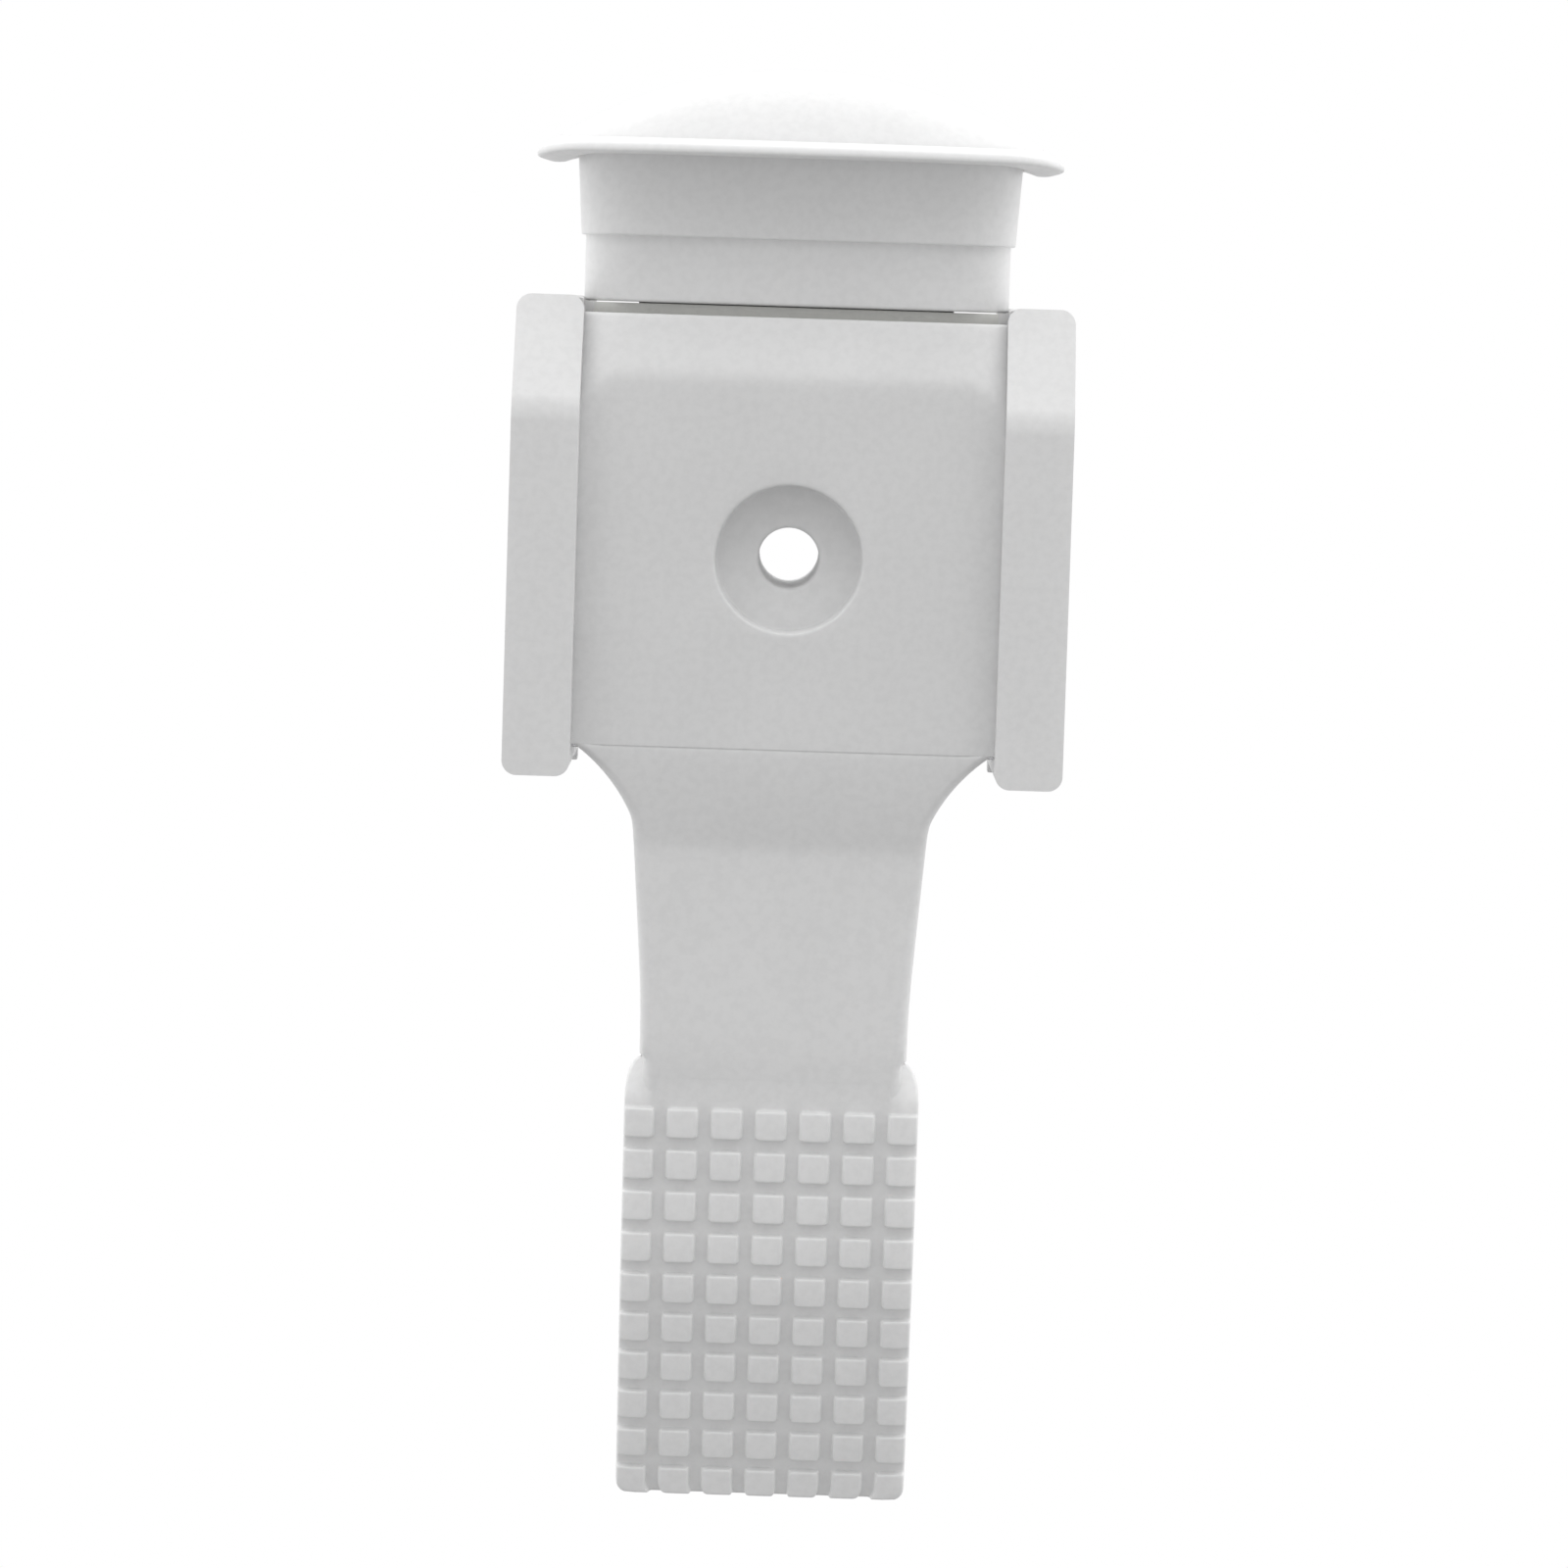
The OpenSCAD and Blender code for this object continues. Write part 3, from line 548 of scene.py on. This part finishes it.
PLATE_LOW, PLATE_HIGH = node_box("face_plate")
PLATE_HALF = 17.11
PLATE_TOP = PLATE_HIGH.z + 0.12
CHAMFER_FROM = PLATE_HIGH.z - 4.75
CHAMFER_SLOPE = 2.0 / 4.75
SIDE_WIDTH = 3.2
SIDE_FALL = 0.7
CORNER_SAG = 3.4
# Radius of the recess for the screw's head and of its hole, and the depths of the plate's front, the
# recess's floor and the plate's back
RECESS_R, HOLE_R = 5.95, 2.45
FRONT_Y, FLOOR_Y, PLATE_BACK = -18.0, -15.0, -13.5
TAB_SIZE = (1.8, 1.0, 20.0)
TAB_Y, TAB_Z = -12.8, 2.0
BARREL_ROOM = 3.42
TONGUE_PIVOT = Vector(joint("tongue_press")["pos_m"]) / MM


def pivot_rod(r, half_length, sides=72):
    """Round bar about the tongue's pivot, in millimetres."""
    bm = bmesh.new()
    along = Vector((half_length, 0, 0))
    rod(bm, r, TONGUE_PIVOT - along, TONGUE_PIVOT + along, sides)
    return bm


def plate_front(x, z):
    """Depth of the face plate's front: flat, with a soft chamfer on top and sides that fall away."""
    u = min(1.0, max(0.0, abs(x) - (PLATE_HALF - SIDE_WIDTH)) / SIDE_WIDTH)
    bow = 1 - math.sqrt(1 - 0.85 * u * u)
    face = PLATE_LOW.y + SIDE_FALL * bow
    chamfer = PLATE_LOW.y + CHAMFER_SLOPE * (z - CHAMFER_FROM + CORNER_SAG * u * u)
    edges = round_over(PLATE_TOP - z, 0.3), round_over(z - PLATE_LOW.z, 0.02)
    return smooth_max(face, chamfer, 0.11) + edges[0] + edges[1]


def plate_ring(xs, z):
    """Section of the plate at one height: its front, its +X side, its back and its -X side."""
    ring = [Vector((x, plate_front(x, z), z)) for x in xs]
    side = ring[-1].y
    depth = PLATE_BACK - side
    ring += [Vector((PLATE_HALF, side + depth * k / 3, z)) for k in (1, 2, 3)]
    ring += [Vector((PLATE_HALF - 2 * PLATE_HALF * k / 6, PLATE_BACK, z)) for k in range(1, 6)]
    ring += [Vector((-PLATE_HALF, side + depth * k / 3, z)) for k in (3, 2, 1)]
    return ring


def plate_skin():
    """The plate without its holes, in rows and columns that lie closer where its front curves."""
    right = [PLATE_HALF - SIDE_WIDTH * (1 - math.sin(math.radians(7.5 * k))) for k in range(13)]
    left = [-x for x in reversed(right)]
    xs = left + [-11 + 2.2 * k for k in range(11)] + right
    zs = [PLATE_LOW.z + rise for rise in (0, 0.02, 0.06, 0.3, 1)]
    zs += [PLATE_LOW.z + 3 * k for k in range(1, 9)]
    zs += [10.5 + 0.35 * k for k in range(24)]
    zs += [PLATE_TOP - drop for drop in (0.3, 0.2, 0.12, 0.06, 0.02, 0)]
    bm = bmesh.new()
    skin(bm, [plate_ring(xs, z) for z in zs])
    return bm


def recess_profile():
    """The screw's recess and hole as (radius, depth): an eased mouth, a flat floor and an eased hole."""
    beyond = FRONT_Y - 2
    mouth = [(0.32, -0.001), (0.16, 0.02), (0.06, 0.08), (0.0, 0.2)]
    foot = [(0.05, -0.25), (0.12, -0.08), (0.3, 0.0)]
    hole = [(0.45, 0.0), (0.2, 0.07), (0.05, 0.22), (0.0, 0.45)]
    profile = [(0, beyond), (RECESS_R + mouth[0][0], beyond)]
    profile += [(RECESS_R + out, FRONT_Y + down) for out, down in mouth]
    profile += [(RECESS_R - inward, FLOOR_Y + down) for inward, down in foot]
    profile += [(HOLE_R + out, FLOOR_Y + down) for out, down in hole]
    return profile + [(HOLE_R, FLOOR_Y + 3), (0, FLOOR_Y + 3)]


def build_face_plate():
    """Plate with its screw recess, room for the tongue's barrel and a tab on each side."""
    plate = add_piece("face_plate", plate_skin(), "base", SHADED_PLATE, ["face_plate"])
    boolean(plate, lathe_y(recess_profile()), "DIFFERENCE")
    boolean(plate, pivot_rod(BARREL_ROOM, 18), "DIFFERENCE")
    for side in (-1, 1):
        centre = (side * (PLATE_HIGH.x - TAB_SIZE[0] / 2), TAB_Y, TAB_Z)
        boolean(plate, block(centre, TAB_SIZE), "UNION")


# ---------------------------------------------------------------- tongue

GRIP_HIGH = node_box("grip_sleeve")[1]
SHOULDER_Z = PLATE_LOW.z + 0.01
SHOULDER_Y = PLATE_LOW.y + 0.02
SHOULDER_FALL = 0.06
# Depth of the neck's front, its thickness, the radius of its edges and how much it thins in the sleeve
NECK_Y = -16.3
NECK_T = 3.0
NECK_R = 1.0
NECK_THINNING = 0.42
RAMP_END = -23.6
FLARE_X, FLARE_Z, FLARE_R = 25.07, -27.05, 14.2
FLARE_END = -21.5
GRIP_TOP = GRIP_HIGH.z
NECK_TOP_HALF, NECK_BOTTOM_HALF = 12.0, 10.55
NECK_ROWS_FROM = -28
BARREL_R = 3.3
BARREL_X = 12.8
SPRING_BAY_X = 4.0
PIN_BORE_R = 1.3
# Groove for the spring's leg: its middle across and in depth, and its size
GROOVE_X, GROOVE_Y = -2.85, -9.55
GROOVE_SIZE = (1.4, 6, 6.7)
# The tongue's core inside the sleeve: half width, front and back depth, edge radius and what it stops short
CORE_HALF, CORE_FRONT, CORE_BACK, CORE_R, CORE_SHORT = 9.8, 1.02, 2.58, 0.5, 1.8
# Below its lower end the neck sinks into the sleeve while the sleeve comes up through it
NECK_SINK, NECK_SINK_LENGTH = 0.04, 3.8


def neck_half(z):
    """Half width of the tongue: wide hollow arcs at the top, then a straight taper."""
    narrowing = NECK_BOTTOM_HALF - NECK_TOP_HALF
    taper = NECK_TOP_HALF + narrowing * (z - FLARE_END) / (GRIP_TOP - FLARE_END)
    arc = FLARE_X - math.sqrt(FLARE_R ** 2 - max(0.0, z - FLARE_Z) ** 2)
    return min(16.95, smooth_max(taper, arc, 0.1))


def tongue_front(z):
    """Depth of the tongue's front: a ramp from under the face plate to the flat neck, with a soft end."""
    t = max(0.0, SHOULDER_Z - z) / (SHOULDER_Z - RAMP_END)
    eased = -smooth_max(-t ** 1.35, -1.0, 0.04)
    top_edge = SHOULDER_FALL * (1 - min(1.0, (SHOULDER_Z - z) / 0.35)) ** 2
    return SHOULDER_Y + (NECK_Y - SHOULDER_Y) * eased + top_edge


def tongue_back(z):
    """Depth of the tongue's back: the neck's thickness behind its front, and less deep at the top."""
    return NECK_Y + NECK_T + 1.8 * smooth((z + 20.8) / 3.6)


def tongue_rings():
    """The tongue's skin down to the grip, in rows that lie closest at its top edge."""
    heights = [SHOULDER_Z - drop for drop in (0, 0.02, 0.06, 0.12, 0.2, 0.3)]
    last = heights[-1]
    heights += [last - (last - NECK_ROWS_FROM) * k / 40 for k in range(1, 41)]
    heights += [NECK_ROWS_FROM + (GRIP_TOP - NECK_ROWS_FROM) * k / 8 for k in range(1, 9)]
    return [lift(round_rect(neck_half(z), tongue_front(z), tongue_back(z), NECK_R), z) for z in heights]


def core_rings():
    """The tongue's skin inside the grip: the neck sinks into the sleeve, then steps in to a thin core."""
    rings = []
    for k in range(1, 10):
        s = NECK_SINK_LENGTH * k / 9
        front = NECK_SINK * smooth(s / NECK_SINK_LENGTH)
        back = NECK_T - NECK_THINNING * smooth(s)
        rings.append(square_to_grip(s, round_rect(NECK_BOTTOM_HALF, front, back, NECK_R)))
    core = round_rect(CORE_HALF, CORE_FRONT, CORE_BACK, CORE_R)
    for k in range(25):
        s = NECK_SINK_LENGTH + 0.01 + (grip_length() - CORE_SHORT - NECK_SINK_LENGTH) * k / 24
        rings.append(square_to_grip(s, core))
    return rings


def build_tongue():
    """Tongue with the barrel that turns on the pin, a bay and a groove for its spring, and a bore."""
    bm = bmesh.new()
    skin(bm, tongue_rings() + core_rings())
    tongue = add_piece("release_tongue", bm, "tongue", SHELL, ["release_tongue"])
    boolean(tongue, pivot_rod(BARREL_R, BARREL_X), "UNION")
    boolean(tongue, pivot_rod(BARREL_R + 0.3, SPRING_BAY_X), "DIFFERENCE")
    groove_z = TONGUE_PIVOT.z - GROOVE_SIZE[2] / 2
    boolean(tongue, block((GROOVE_X, GROOVE_Y, groove_z), GROOVE_SIZE), "DIFFERENCE")
    boolean(tongue, pivot_rod(PIN_BORE_R, 20, 40), "DIFFERENCE")
    soften(tongue, 0.05, 2, angle=35)


# ---------------------------------------------------------------- grip

NUB_SIDE = 2.4
NUB_COLUMNS, NUB_ROWS = 7, 10
GRIP_HALF = GRIP_HIGH.x
NUB_PITCH = (2 * GRIP_HALF - NUB_SIDE) / (NUB_COLUMNS - 1)
NUB_H = 0.55
ROW_PITCH = 3.455
FIRST_ROW = 4.4
SLEEVE_T = 3.6
GRIP_CORNER = 1.1
# The outermost samples of the sleeve's front
GRIP_EDGE = GRIP_HALF - 0.03
# The sleeve swells out of the neck over shoulders with this start and length
SHOULDER_START, SHOULDER_LENGTH = 0.6, 3.4
SLEEVE_START_T, SLEEVE_END_R, SLEEVE_BACK_R = 2.98, 0.35, 0.9
# Beside the neck the sleeve's front lies back: how far, down to where, and from where across
WING_RECESS, WING_LENGTH, WING_X, WING_BLEND = 2.4, 4.3, 9.5, 1.2
# Shares of the full colour in the grooves and on the nubs' upper sides, lowered there by painted shade
GROOVE_SHADE_TONE, LEDGE_SHADE_TONE = 0.91, 0.84
# Straight runs of the grip's front: (length, degrees back from upright)
GRIP_RUNS = [(FIRST_ROW - 0.2 + 4 * ROW_PITCH, 4.0), (4 * ROW_PITCH, 14.0), (2 * ROW_PITCH - 0.75, 17.5)]
BEND = 5.0


def grip_length():
    """Length of the grip along its front."""
    return sum(length for length, _ in GRIP_RUNS)


def grip_tilt(s):
    """Tilt of the grip's front at the distance s, with each bend spread over a few millimetres."""
    tilt, at = GRIP_RUNS[0][1], 0.0
    for (length, here), (_, after) in zip(GRIP_RUNS, GRIP_RUNS[1:]):
        at += length
        tilt += (after - here) * smooth((s - at) / (2 * BEND) + 0.5)
    return math.radians(tilt)


def grip_track():
    """Depth and height along the grip's front, a point every GRIP_STEP."""
    track = [(NECK_Y, GRIP_TOP)]
    for k in range(int((grip_length() + 3) / GRIP_STEP)):
        tilt = grip_tilt(k * GRIP_STEP)
        y, z = track[-1]
        track.append((y + GRIP_STEP * math.sin(tilt), z - GRIP_STEP * math.cos(tilt)))
    return track


GRIP_STEP = 0.05
GRIP_TRACK = grip_track()


def grip_point(s, inward):
    """Depth and height of the point that lies a distance inward from the grip's front at s."""
    k = min(len(GRIP_TRACK) - 2, int(s / GRIP_STEP))
    share = s / GRIP_STEP - k
    (y0, z0), (y1, z1) = GRIP_TRACK[k:k + 2]
    tilt = grip_tilt(s)
    return y0 + (y1 - y0) * share + inward * math.cos(tilt), z0 + (z1 - z0) * share + inward * math.sin(tilt)


def square_to_grip(s, outline):
    """Puts an outline of (x, depth) points square to the grip's front at s."""
    return [Vector((x, *grip_point(s, depth))) for x, depth in outline]


# Height of a nub against the distance outside its nominal edge, in millimetres
NUB_EDGE = [(-0.24, 1.0), (-0.12, 0.998), (-0.05, 0.96), (0.01, 0.8), (0.05, 0.4), (0.08, 0.08),
            (0.13, 0.0), (0.26, 0.0)]
NUB_CORNER = 0.3


def nub_profile(distance):
    """Share of a nub's height at a distance outside its edge."""
    if distance <= NUB_EDGE[0][0]:
        return 1.0
    for (d0, h0), (d1, h1) in zip(NUB_EDGE, NUB_EDGE[1:]):
        if distance <= d1:
            return h0 + (h1 - h0) * (distance - d0) / (d1 - d0)
    return 0.0


def nub_height(x, s):
    """Height of the grid of nubs over the grip's skin."""
    column = round(x / NUB_PITCH)
    column = max(-(NUB_COLUMNS // 2), min(NUB_COLUMNS // 2, column))
    row = max(0, min(NUB_ROWS - 1, round((s - FIRST_ROW - NUB_SIDE / 2) / ROW_PITCH)))
    dx = abs(x - column * NUB_PITCH) - NUB_SIDE / 2
    ds = abs(s - FIRST_ROW - NUB_SIDE / 2 - row * ROW_PITCH) - NUB_SIDE / 2
    ex, es = dx + NUB_CORNER, ds + NUB_CORNER
    outside = math.hypot(max(ex, 0), max(es, 0)) + min(max(ex, es), 0) - NUB_CORNER
    return NUB_H * nub_profile(outside)


def kept_colour_share(x, s):
    """Share of the full colour: lowered by painted shade in the grooves between nubs and on the nubs' upper
    sides, and darker in the middle above the nubs.
    """
    height = nub_height(x, s) / NUB_H
    row = round((s - FIRST_ROW - NUB_SIDE / 2) / ROW_PITCH)
    on_ledge = s < FIRST_ROW + row * ROW_PITCH + 0.02
    # The nubs' upper sides get the most painted shade, against the light they catch from above; the grooves
    # get painted shade too.
    if height > 0.99:
        tone = 1.0
    elif height > 0.001:
        tone = LEDGE_SHADE_TONE if on_ledge else 0.97
    else:
        tone = GROOVE_SHADE_TONE
    above_nubs = 1 - smooth((s - FIRST_ROW + 1.4) / 1.6)
    bare = 0.935 + 0.065 * smooth(abs(x) - 9.8)
    return tone + (bare - tone) * above_nubs


def nub_samples(centres, pitch, low, high):
    """Positions that follow the nubs' edges closely and their flats loosely."""
    out = {round(low, 4), round(high, 4)}
    for centre in centres:
        for side in (-1, 1):
            for edge, _ in NUB_EDGE:
                out.add(round(centre + side * (NUB_SIDE / 2 + edge), 4))
        out.add(round(centre, 4))
        out.add(round(centre + pitch / 2, 4))
    return sorted(v for v in out if low <= v <= high)


def grip_half(s):
    """Half width of the grip: it swells out of the neck over rounded shoulders and rounds off at the end."""
    out = min(1.0, max(0.0, s - SHOULDER_START) / SHOULDER_LENGTH)
    rise = math.sqrt(1 - (1 - out) ** 2.4)
    trim = corner_fall(grip_length() - s, GRIP_CORNER, GRIP_CORNER)
    narrowest = NECK_BOTTOM_HALF + 0.1
    widest = GRIP_HALF - 0.06 * s / grip_length()
    return narrowest + (widest - narrowest) * rise - trim


def grip_columns():
    """Places across the grip's front where its skin has points."""
    middles = [(c - NUB_COLUMNS // 2) * NUB_PITCH for c in range(NUB_COLUMNS)]
    return nub_samples(middles, NUB_PITCH, -GRIP_EDGE, GRIP_EDGE)


def grip_rows():
    """Distances along the grip's front where its skin has a ring, closer at the shoulders and the end."""
    middles = [FIRST_ROW + NUB_SIDE / 2 + r * ROW_PITCH for r in range(NUB_ROWS)]
    rows = set(nub_samples(middles, ROW_PITCH, 0.0, grip_length()))
    shoulders = {0.35 * k for k in range(13)} | {0.62, 0.66, 0.72, 0.8}
    turns = [math.cos(math.radians(15 * k)) for k in range(1, 7)]
    return sorted(rows | shoulders | {grip_length() - GRIP_CORNER * (1 - turn) for turn in turns})


def end_fall(s):
    """How far the sleeve's front and back draw in at its lower end."""
    return corner_fall(grip_length() - s, SLEEVE_END_R, SLEEVE_END_R)


def sleeve_front(x, s):
    """Depth of the sleeve's front with its nubs, rounded at its sides, below its neck and at its end."""
    side_fall = corner_fall(GRIP_EDGE - abs(x), 0.6, 0.4)
    wing = WING_RECESS * max(0.0, 1 - s / WING_LENGTH) ** 1.6 * smooth((abs(x) - WING_X) / WING_BLEND)
    sunk = NECK_SINK * (1 - smooth(s / NECK_SINK_LENGTH))
    return -nub_height(x, s) + side_fall + end_fall(s) + wing + sunk


def sleeve_outline(xs, s):
    """Outline of the sleeve at s as (x, depth): its front, its +X side, its back and its -X side."""
    half = grip_half(s)
    back = SLEEVE_START_T + (SLEEVE_T - SLEEVE_START_T) * smooth(s / 2.4) - end_fall(s)
    outline = [(x * half / GRIP_HALF, sleeve_front(x, s)) for x in xs]
    inner, inner_back = half - SLEEVE_BACK_R, back - SLEEVE_BACK_R
    start = outline[-1][1] + 0.1
    side = [start + (inner_back - start) * k / 4 for k in range(1, 5)]
    outline += [(half, depth) for depth in side]
    outline += arc_points(inner, inner_back, SLEEVE_BACK_R, 10, 90, 6)
    outline += [(inner - 2 * inner * k / 12, back) for k in range(13)]
    outline += arc_points(-inner, inner_back, SLEEVE_BACK_R, 105, 185, 6)
    return outline + [(-half, depth) for depth in reversed(side)]


def build_grip():
    """Sleeve with its nubs in one skin: rings square to the front, from the neck to the tip."""
    xs = grip_columns()
    rings = []
    painted_shade_and_tone = []
    for s in grip_rows():
        outline = sleeve_outline(xs, s)
        rings.append(square_to_grip(s, outline))
        painted_shade_and_tone += [1.0 - kept_colour_share(x, s) for x in xs]
        painted_shade_and_tone += [0.0] * (len(outline) - len(xs))
    bm = bmesh.new()
    skin(bm, rings)
    sleeve = add_piece("grip_sleeve", bm, "tongue", GRIP, ["grip_sleeve"])
    # The grip's painted shade, and its darker tone above the nubs, go on the mesh as a point attribute.
    mask = sleeve.data.attributes.new("painted_shade_and_tone", "FLOAT", "POINT")
    # The middles of the two end fans come last
    mask.data.foreach_set("value", painted_shade_and_tone + [0.0, 0.0])


# ---------------------------------------------------------------- springs

def wire_sweep(bm, path, wire_r, sides=10):
    """Round wire along a path, closed at both ends."""
    rings = []
    normal = None
    for k, point in enumerate(path):
        ahead = path[min(k + 1, len(path) - 1)] - path[max(k - 1, 0)]
        tangent = ahead.normalized()
        if normal is None:
            normal = tangent.orthogonal().normalized()
        normal = (normal - tangent * normal.dot(tangent)).normalized()
        across = tangent.cross(normal)
        rings.append([point + wire_r * (normal * math.cos(a) + across * math.sin(a))
                      for a in (2 * math.pi * i / sides for i in range(sides))])
    skin(bm, rings)


# Dead coils at each end of a return spring, and the share of its height that they take
DEAD_COILS, DEAD_RISE = 1.15, 0.06


def coil_rise(t, dead):
    """Share of a return spring's height at a share t of its wire, of which each end's share dead is flat."""
    if t < dead:
        return DEAD_RISE * t / dead
    if t > 1 - dead:
        return 1 - DEAD_RISE + DEAD_RISE * (t - 1 + dead) / dead
    return DEAD_RISE + (1 - 2 * DEAD_RISE) * (t - dead) / (1 - 2 * dead)


def build_return_spring(side, name):
    """Compression spring with a closed coil at each end."""
    low, high = node_box(name)
    centre = (low + high) / 2
    wire_r, turns, steps = 0.28, 6, 28
    mean_r = (high.x - low.x) / 2 - wire_r
    height = high.z - low.z - 2 * wire_r
    path = []
    for k in range(turns * steps + 1):
        t = k / (turns * steps)
        angle = 2 * math.pi * turns * t * side
        x, y = centre.x + mean_r * math.cos(angle), centre.y + mean_r * math.sin(angle)
        path.append(Vector((x, y, low.z + wire_r + height * coil_rise(t, DEAD_COILS / turns))))
    bm = bmesh.new()
    wire_sweep(bm, path, wire_r)
    spring = add_piece(name, bm, "base", WIRE, [name])
    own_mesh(spring)


def build_torsion_spring():
    """Torsion spring round the tongue's pin, with both legs on its wall side."""
    wire_r, mean_r, turns, pitch, leg, steps = 0.33, 2.05, 6, 0.95, 6.4, 28
    half = turns * pitch / 2
    path = [Vector((-half, mean_r, -leg + leg * k / 8)) for k in range(8)]
    for k in range(turns * steps + 1):
        angle = 2 * math.pi * k / steps
        x = -half + pitch * k / steps
        path.append(Vector((x, mean_r * math.cos(angle), mean_r * math.sin(angle))))
    path += [Vector((half, mean_r, leg * k / 8)) for k in range(1, 9)]
    bm = bmesh.new()
    wire_sweep(bm, [TONGUE_PIVOT + point for point in path], wire_r)
    add_piece("tongue_spring", bm, "tongue", WIRE, ["tongue_spring"])


# ---------------------------------------------------------------- put together

build_button()
build_face_plate()
build_tongue()
build_grip()
build_return_spring(-1, "return_spring_left")
build_return_spring(1, "return_spring_right")
build_torsion_spring()

RAIL_FRONT = node_box("housing")[0].y
RAIL_BEND_Z = 11


def on_rail_bend(point):
    """True on the rails' front face above their middle, where it bends back to the chamfer."""
    return point.y < RAIL_FRONT + 0.01 and point.z > RAIL_BEND_Z


finish_node("housing", SHELL, 0.4, 4, (on_rail_bend, 1.1))
finish_node("back_cover", SHELL, 0.3, 3)
for name in ("thrust_washer", "bolt_guide", "plunger", "rocker", "bolt_carrier"):
    finish_node(name, ACETAL, 0.15)
for name in ("cover_screws", "cap_screws", "hook_screws", "bolt_rivets", "drop_bolt", "catch_hook"):
    finish_node(name, STEEL, 0.08)
for name in ("tongue_pin", "rocker_pin_left", "rocker_pin_right"):
    finish_node(name, STEEL_PIN, 0.12)
finish_node("rocker_clip", WIRE, 0.1)
finish_node("stop_buffers", RUBBER, 0.2)


# ---------------------------------------------------------------- stage, light and camera

FLOOR_R, FLOOR_Z = 0.55, -0.26


def build_floor():
    """Pale round floor under the latch, which lights nothing and shows in no reflection."""
    bm = bmesh.new()
    bmesh.ops.create_circle(bm, cap_ends=True, segments=128, radius=FLOOR_R)
    mesh = bpy.data.meshes.new("floor")
    bm.to_mesh(mesh)
    bm.free()
    floor = bpy.data.objects.new("floor", mesh)
    floor.location = (0, 0, FLOOR_Z)
    bpy.context.collection.objects.link(floor)
    mat, nodes, links, shader = new_material("floor_pale")
    coords = nodes.new("ShaderNodeTexCoord")
    tone = ramp_node(nodes, links, noise_node(nodes, links, coords, 6), [(0.3, 0.78), (0.7, 0.8)])
    links.new(tone, shader.inputs["Base Color"])
    shader.inputs["Roughness"].default_value = 0.9
    mesh.materials.append(mat)
    floor.visible_diffuse = False
    floor.visible_glossy = False


def tent_colour(nodes, links):
    """Light of a white tent by direction: bright above and dim below, brightest from the left and right,
    and brighter from behind the latch than from the camera's side."""
    coords = nodes.new("ShaderNodeTexCoord")
    split = nodes.new("ShaderNodeSeparateXYZ")
    links.new(coords.outputs["Generated"], split.inputs["Vector"])
    level = nodes.new("ShaderNodeMapRange")
    level.inputs["From Min"].default_value = -1
    level.inputs["From Max"].default_value = 1
    links.new(split.outputs["Z"], level.inputs["Value"])
    glow = ramp_node(nodes, links, level.outputs["Result"],
                     [(0.0, 0.17), (0.2, 0.21), (0.32, 0.285), (0.76, 0.3), (0.9, 0.75)])
    aside = nodes.new("ShaderNodeMath")
    aside.operation = "ABSOLUTE"
    links.new(split.outputs["X"], aside.inputs[0])
    panels = ramp_node(nodes, links, aside.outputs["Value"], [(0.0, 0.5), (0.4, 0.64), (0.9, 1.0)])
    backdrop = ramp_node(nodes, links, split.outputs["Y"], [(0.05, 0.6), (0.6, 1.0)])
    around = multiply_node(nodes, links, panels, backdrop)
    return multiply_node(nodes, links, glow, around)


def build_world():
    """The tent lights the latch, and the camera sees plain white."""
    world = bpy.data.worlds.new("tent")
    bpy.context.scene.world = world
    world.use_nodes = True
    nodes, links = world.node_tree.nodes, world.node_tree.links
    nodes.clear()
    lit = nodes.new("ShaderNodeBackground")
    links.new(tent_colour(nodes, links), lit.inputs["Color"])
    lit.inputs["Strength"].default_value = 5.1
    plain = nodes.new("ShaderNodeBackground")
    plain.inputs["Color"].default_value = (1, 1, 1, 1)
    path = nodes.new("ShaderNodeLightPath")
    choose = nodes.new("ShaderNodeMixShader")
    links.new(path.outputs["Is Camera Ray"], choose.inputs["Fac"])
    links.new(lit.outputs["Background"], choose.inputs[1])
    links.new(plain.outputs["Background"], choose.inputs[2])
    out = nodes.new("ShaderNodeOutputWorld")
    links.new(choose.outputs["Shader"], out.inputs["Surface"])


def add_softbox(name, place, target, size, power):
    """Rectangular area light that points at its target."""
    light = bpy.data.lights.new(name, "AREA")
    light.shape = "RECTANGLE"
    light.size, light.size_y = size
    light.energy = power
    obj = bpy.data.objects.new(name, light)
    obj.location = place
    obj.rotation_euler = (Vector(target) - Vector(place)).to_track_quat("-Z", "Y").to_euler()
    bpy.context.collection.objects.link(obj)


def build_camera():
    """Level with the button's stem and looking a little down, rolled so that the latch leans right."""
    target = Vector((0.0002, -0.018, -0.0181))
    place = Vector((0.0002, -0.018 - 0.475, 0.020))
    roll = math.radians(1.8)
    view_width = 0.1265
    ahead = (target - place).normalized()
    right = ahead.cross(Vector((0, 0, 1))).normalized()
    up = right.cross(ahead)
    leant_right = right * math.cos(roll) + up * math.sin(roll)
    leant_up = up * math.cos(roll) - right * math.sin(roll)
    camera = bpy.data.cameras.new("camera")
    camera.sensor_width = 36
    camera.lens = 36 * (target - place).length / view_width
    camera.clip_start = 0.01
    obj = bpy.data.objects.new("camera", camera)
    turn = Matrix((leant_right, leant_up, -ahead)).transposed().to_4x4()
    obj.matrix_world = Matrix.Translation(place) @ turn
    bpy.context.collection.objects.link(obj)
    bpy.context.scene.camera = obj


build_floor()
build_world()
add_softbox("top_box", (0.0, -0.18, 0.52), (0, -0.01, 0), (0.5, 0.4), 0.22)
build_camera()
scene = bpy.context.scene
scene.view_settings.view_transform = "Standard"
scene.view_settings.look = "None"
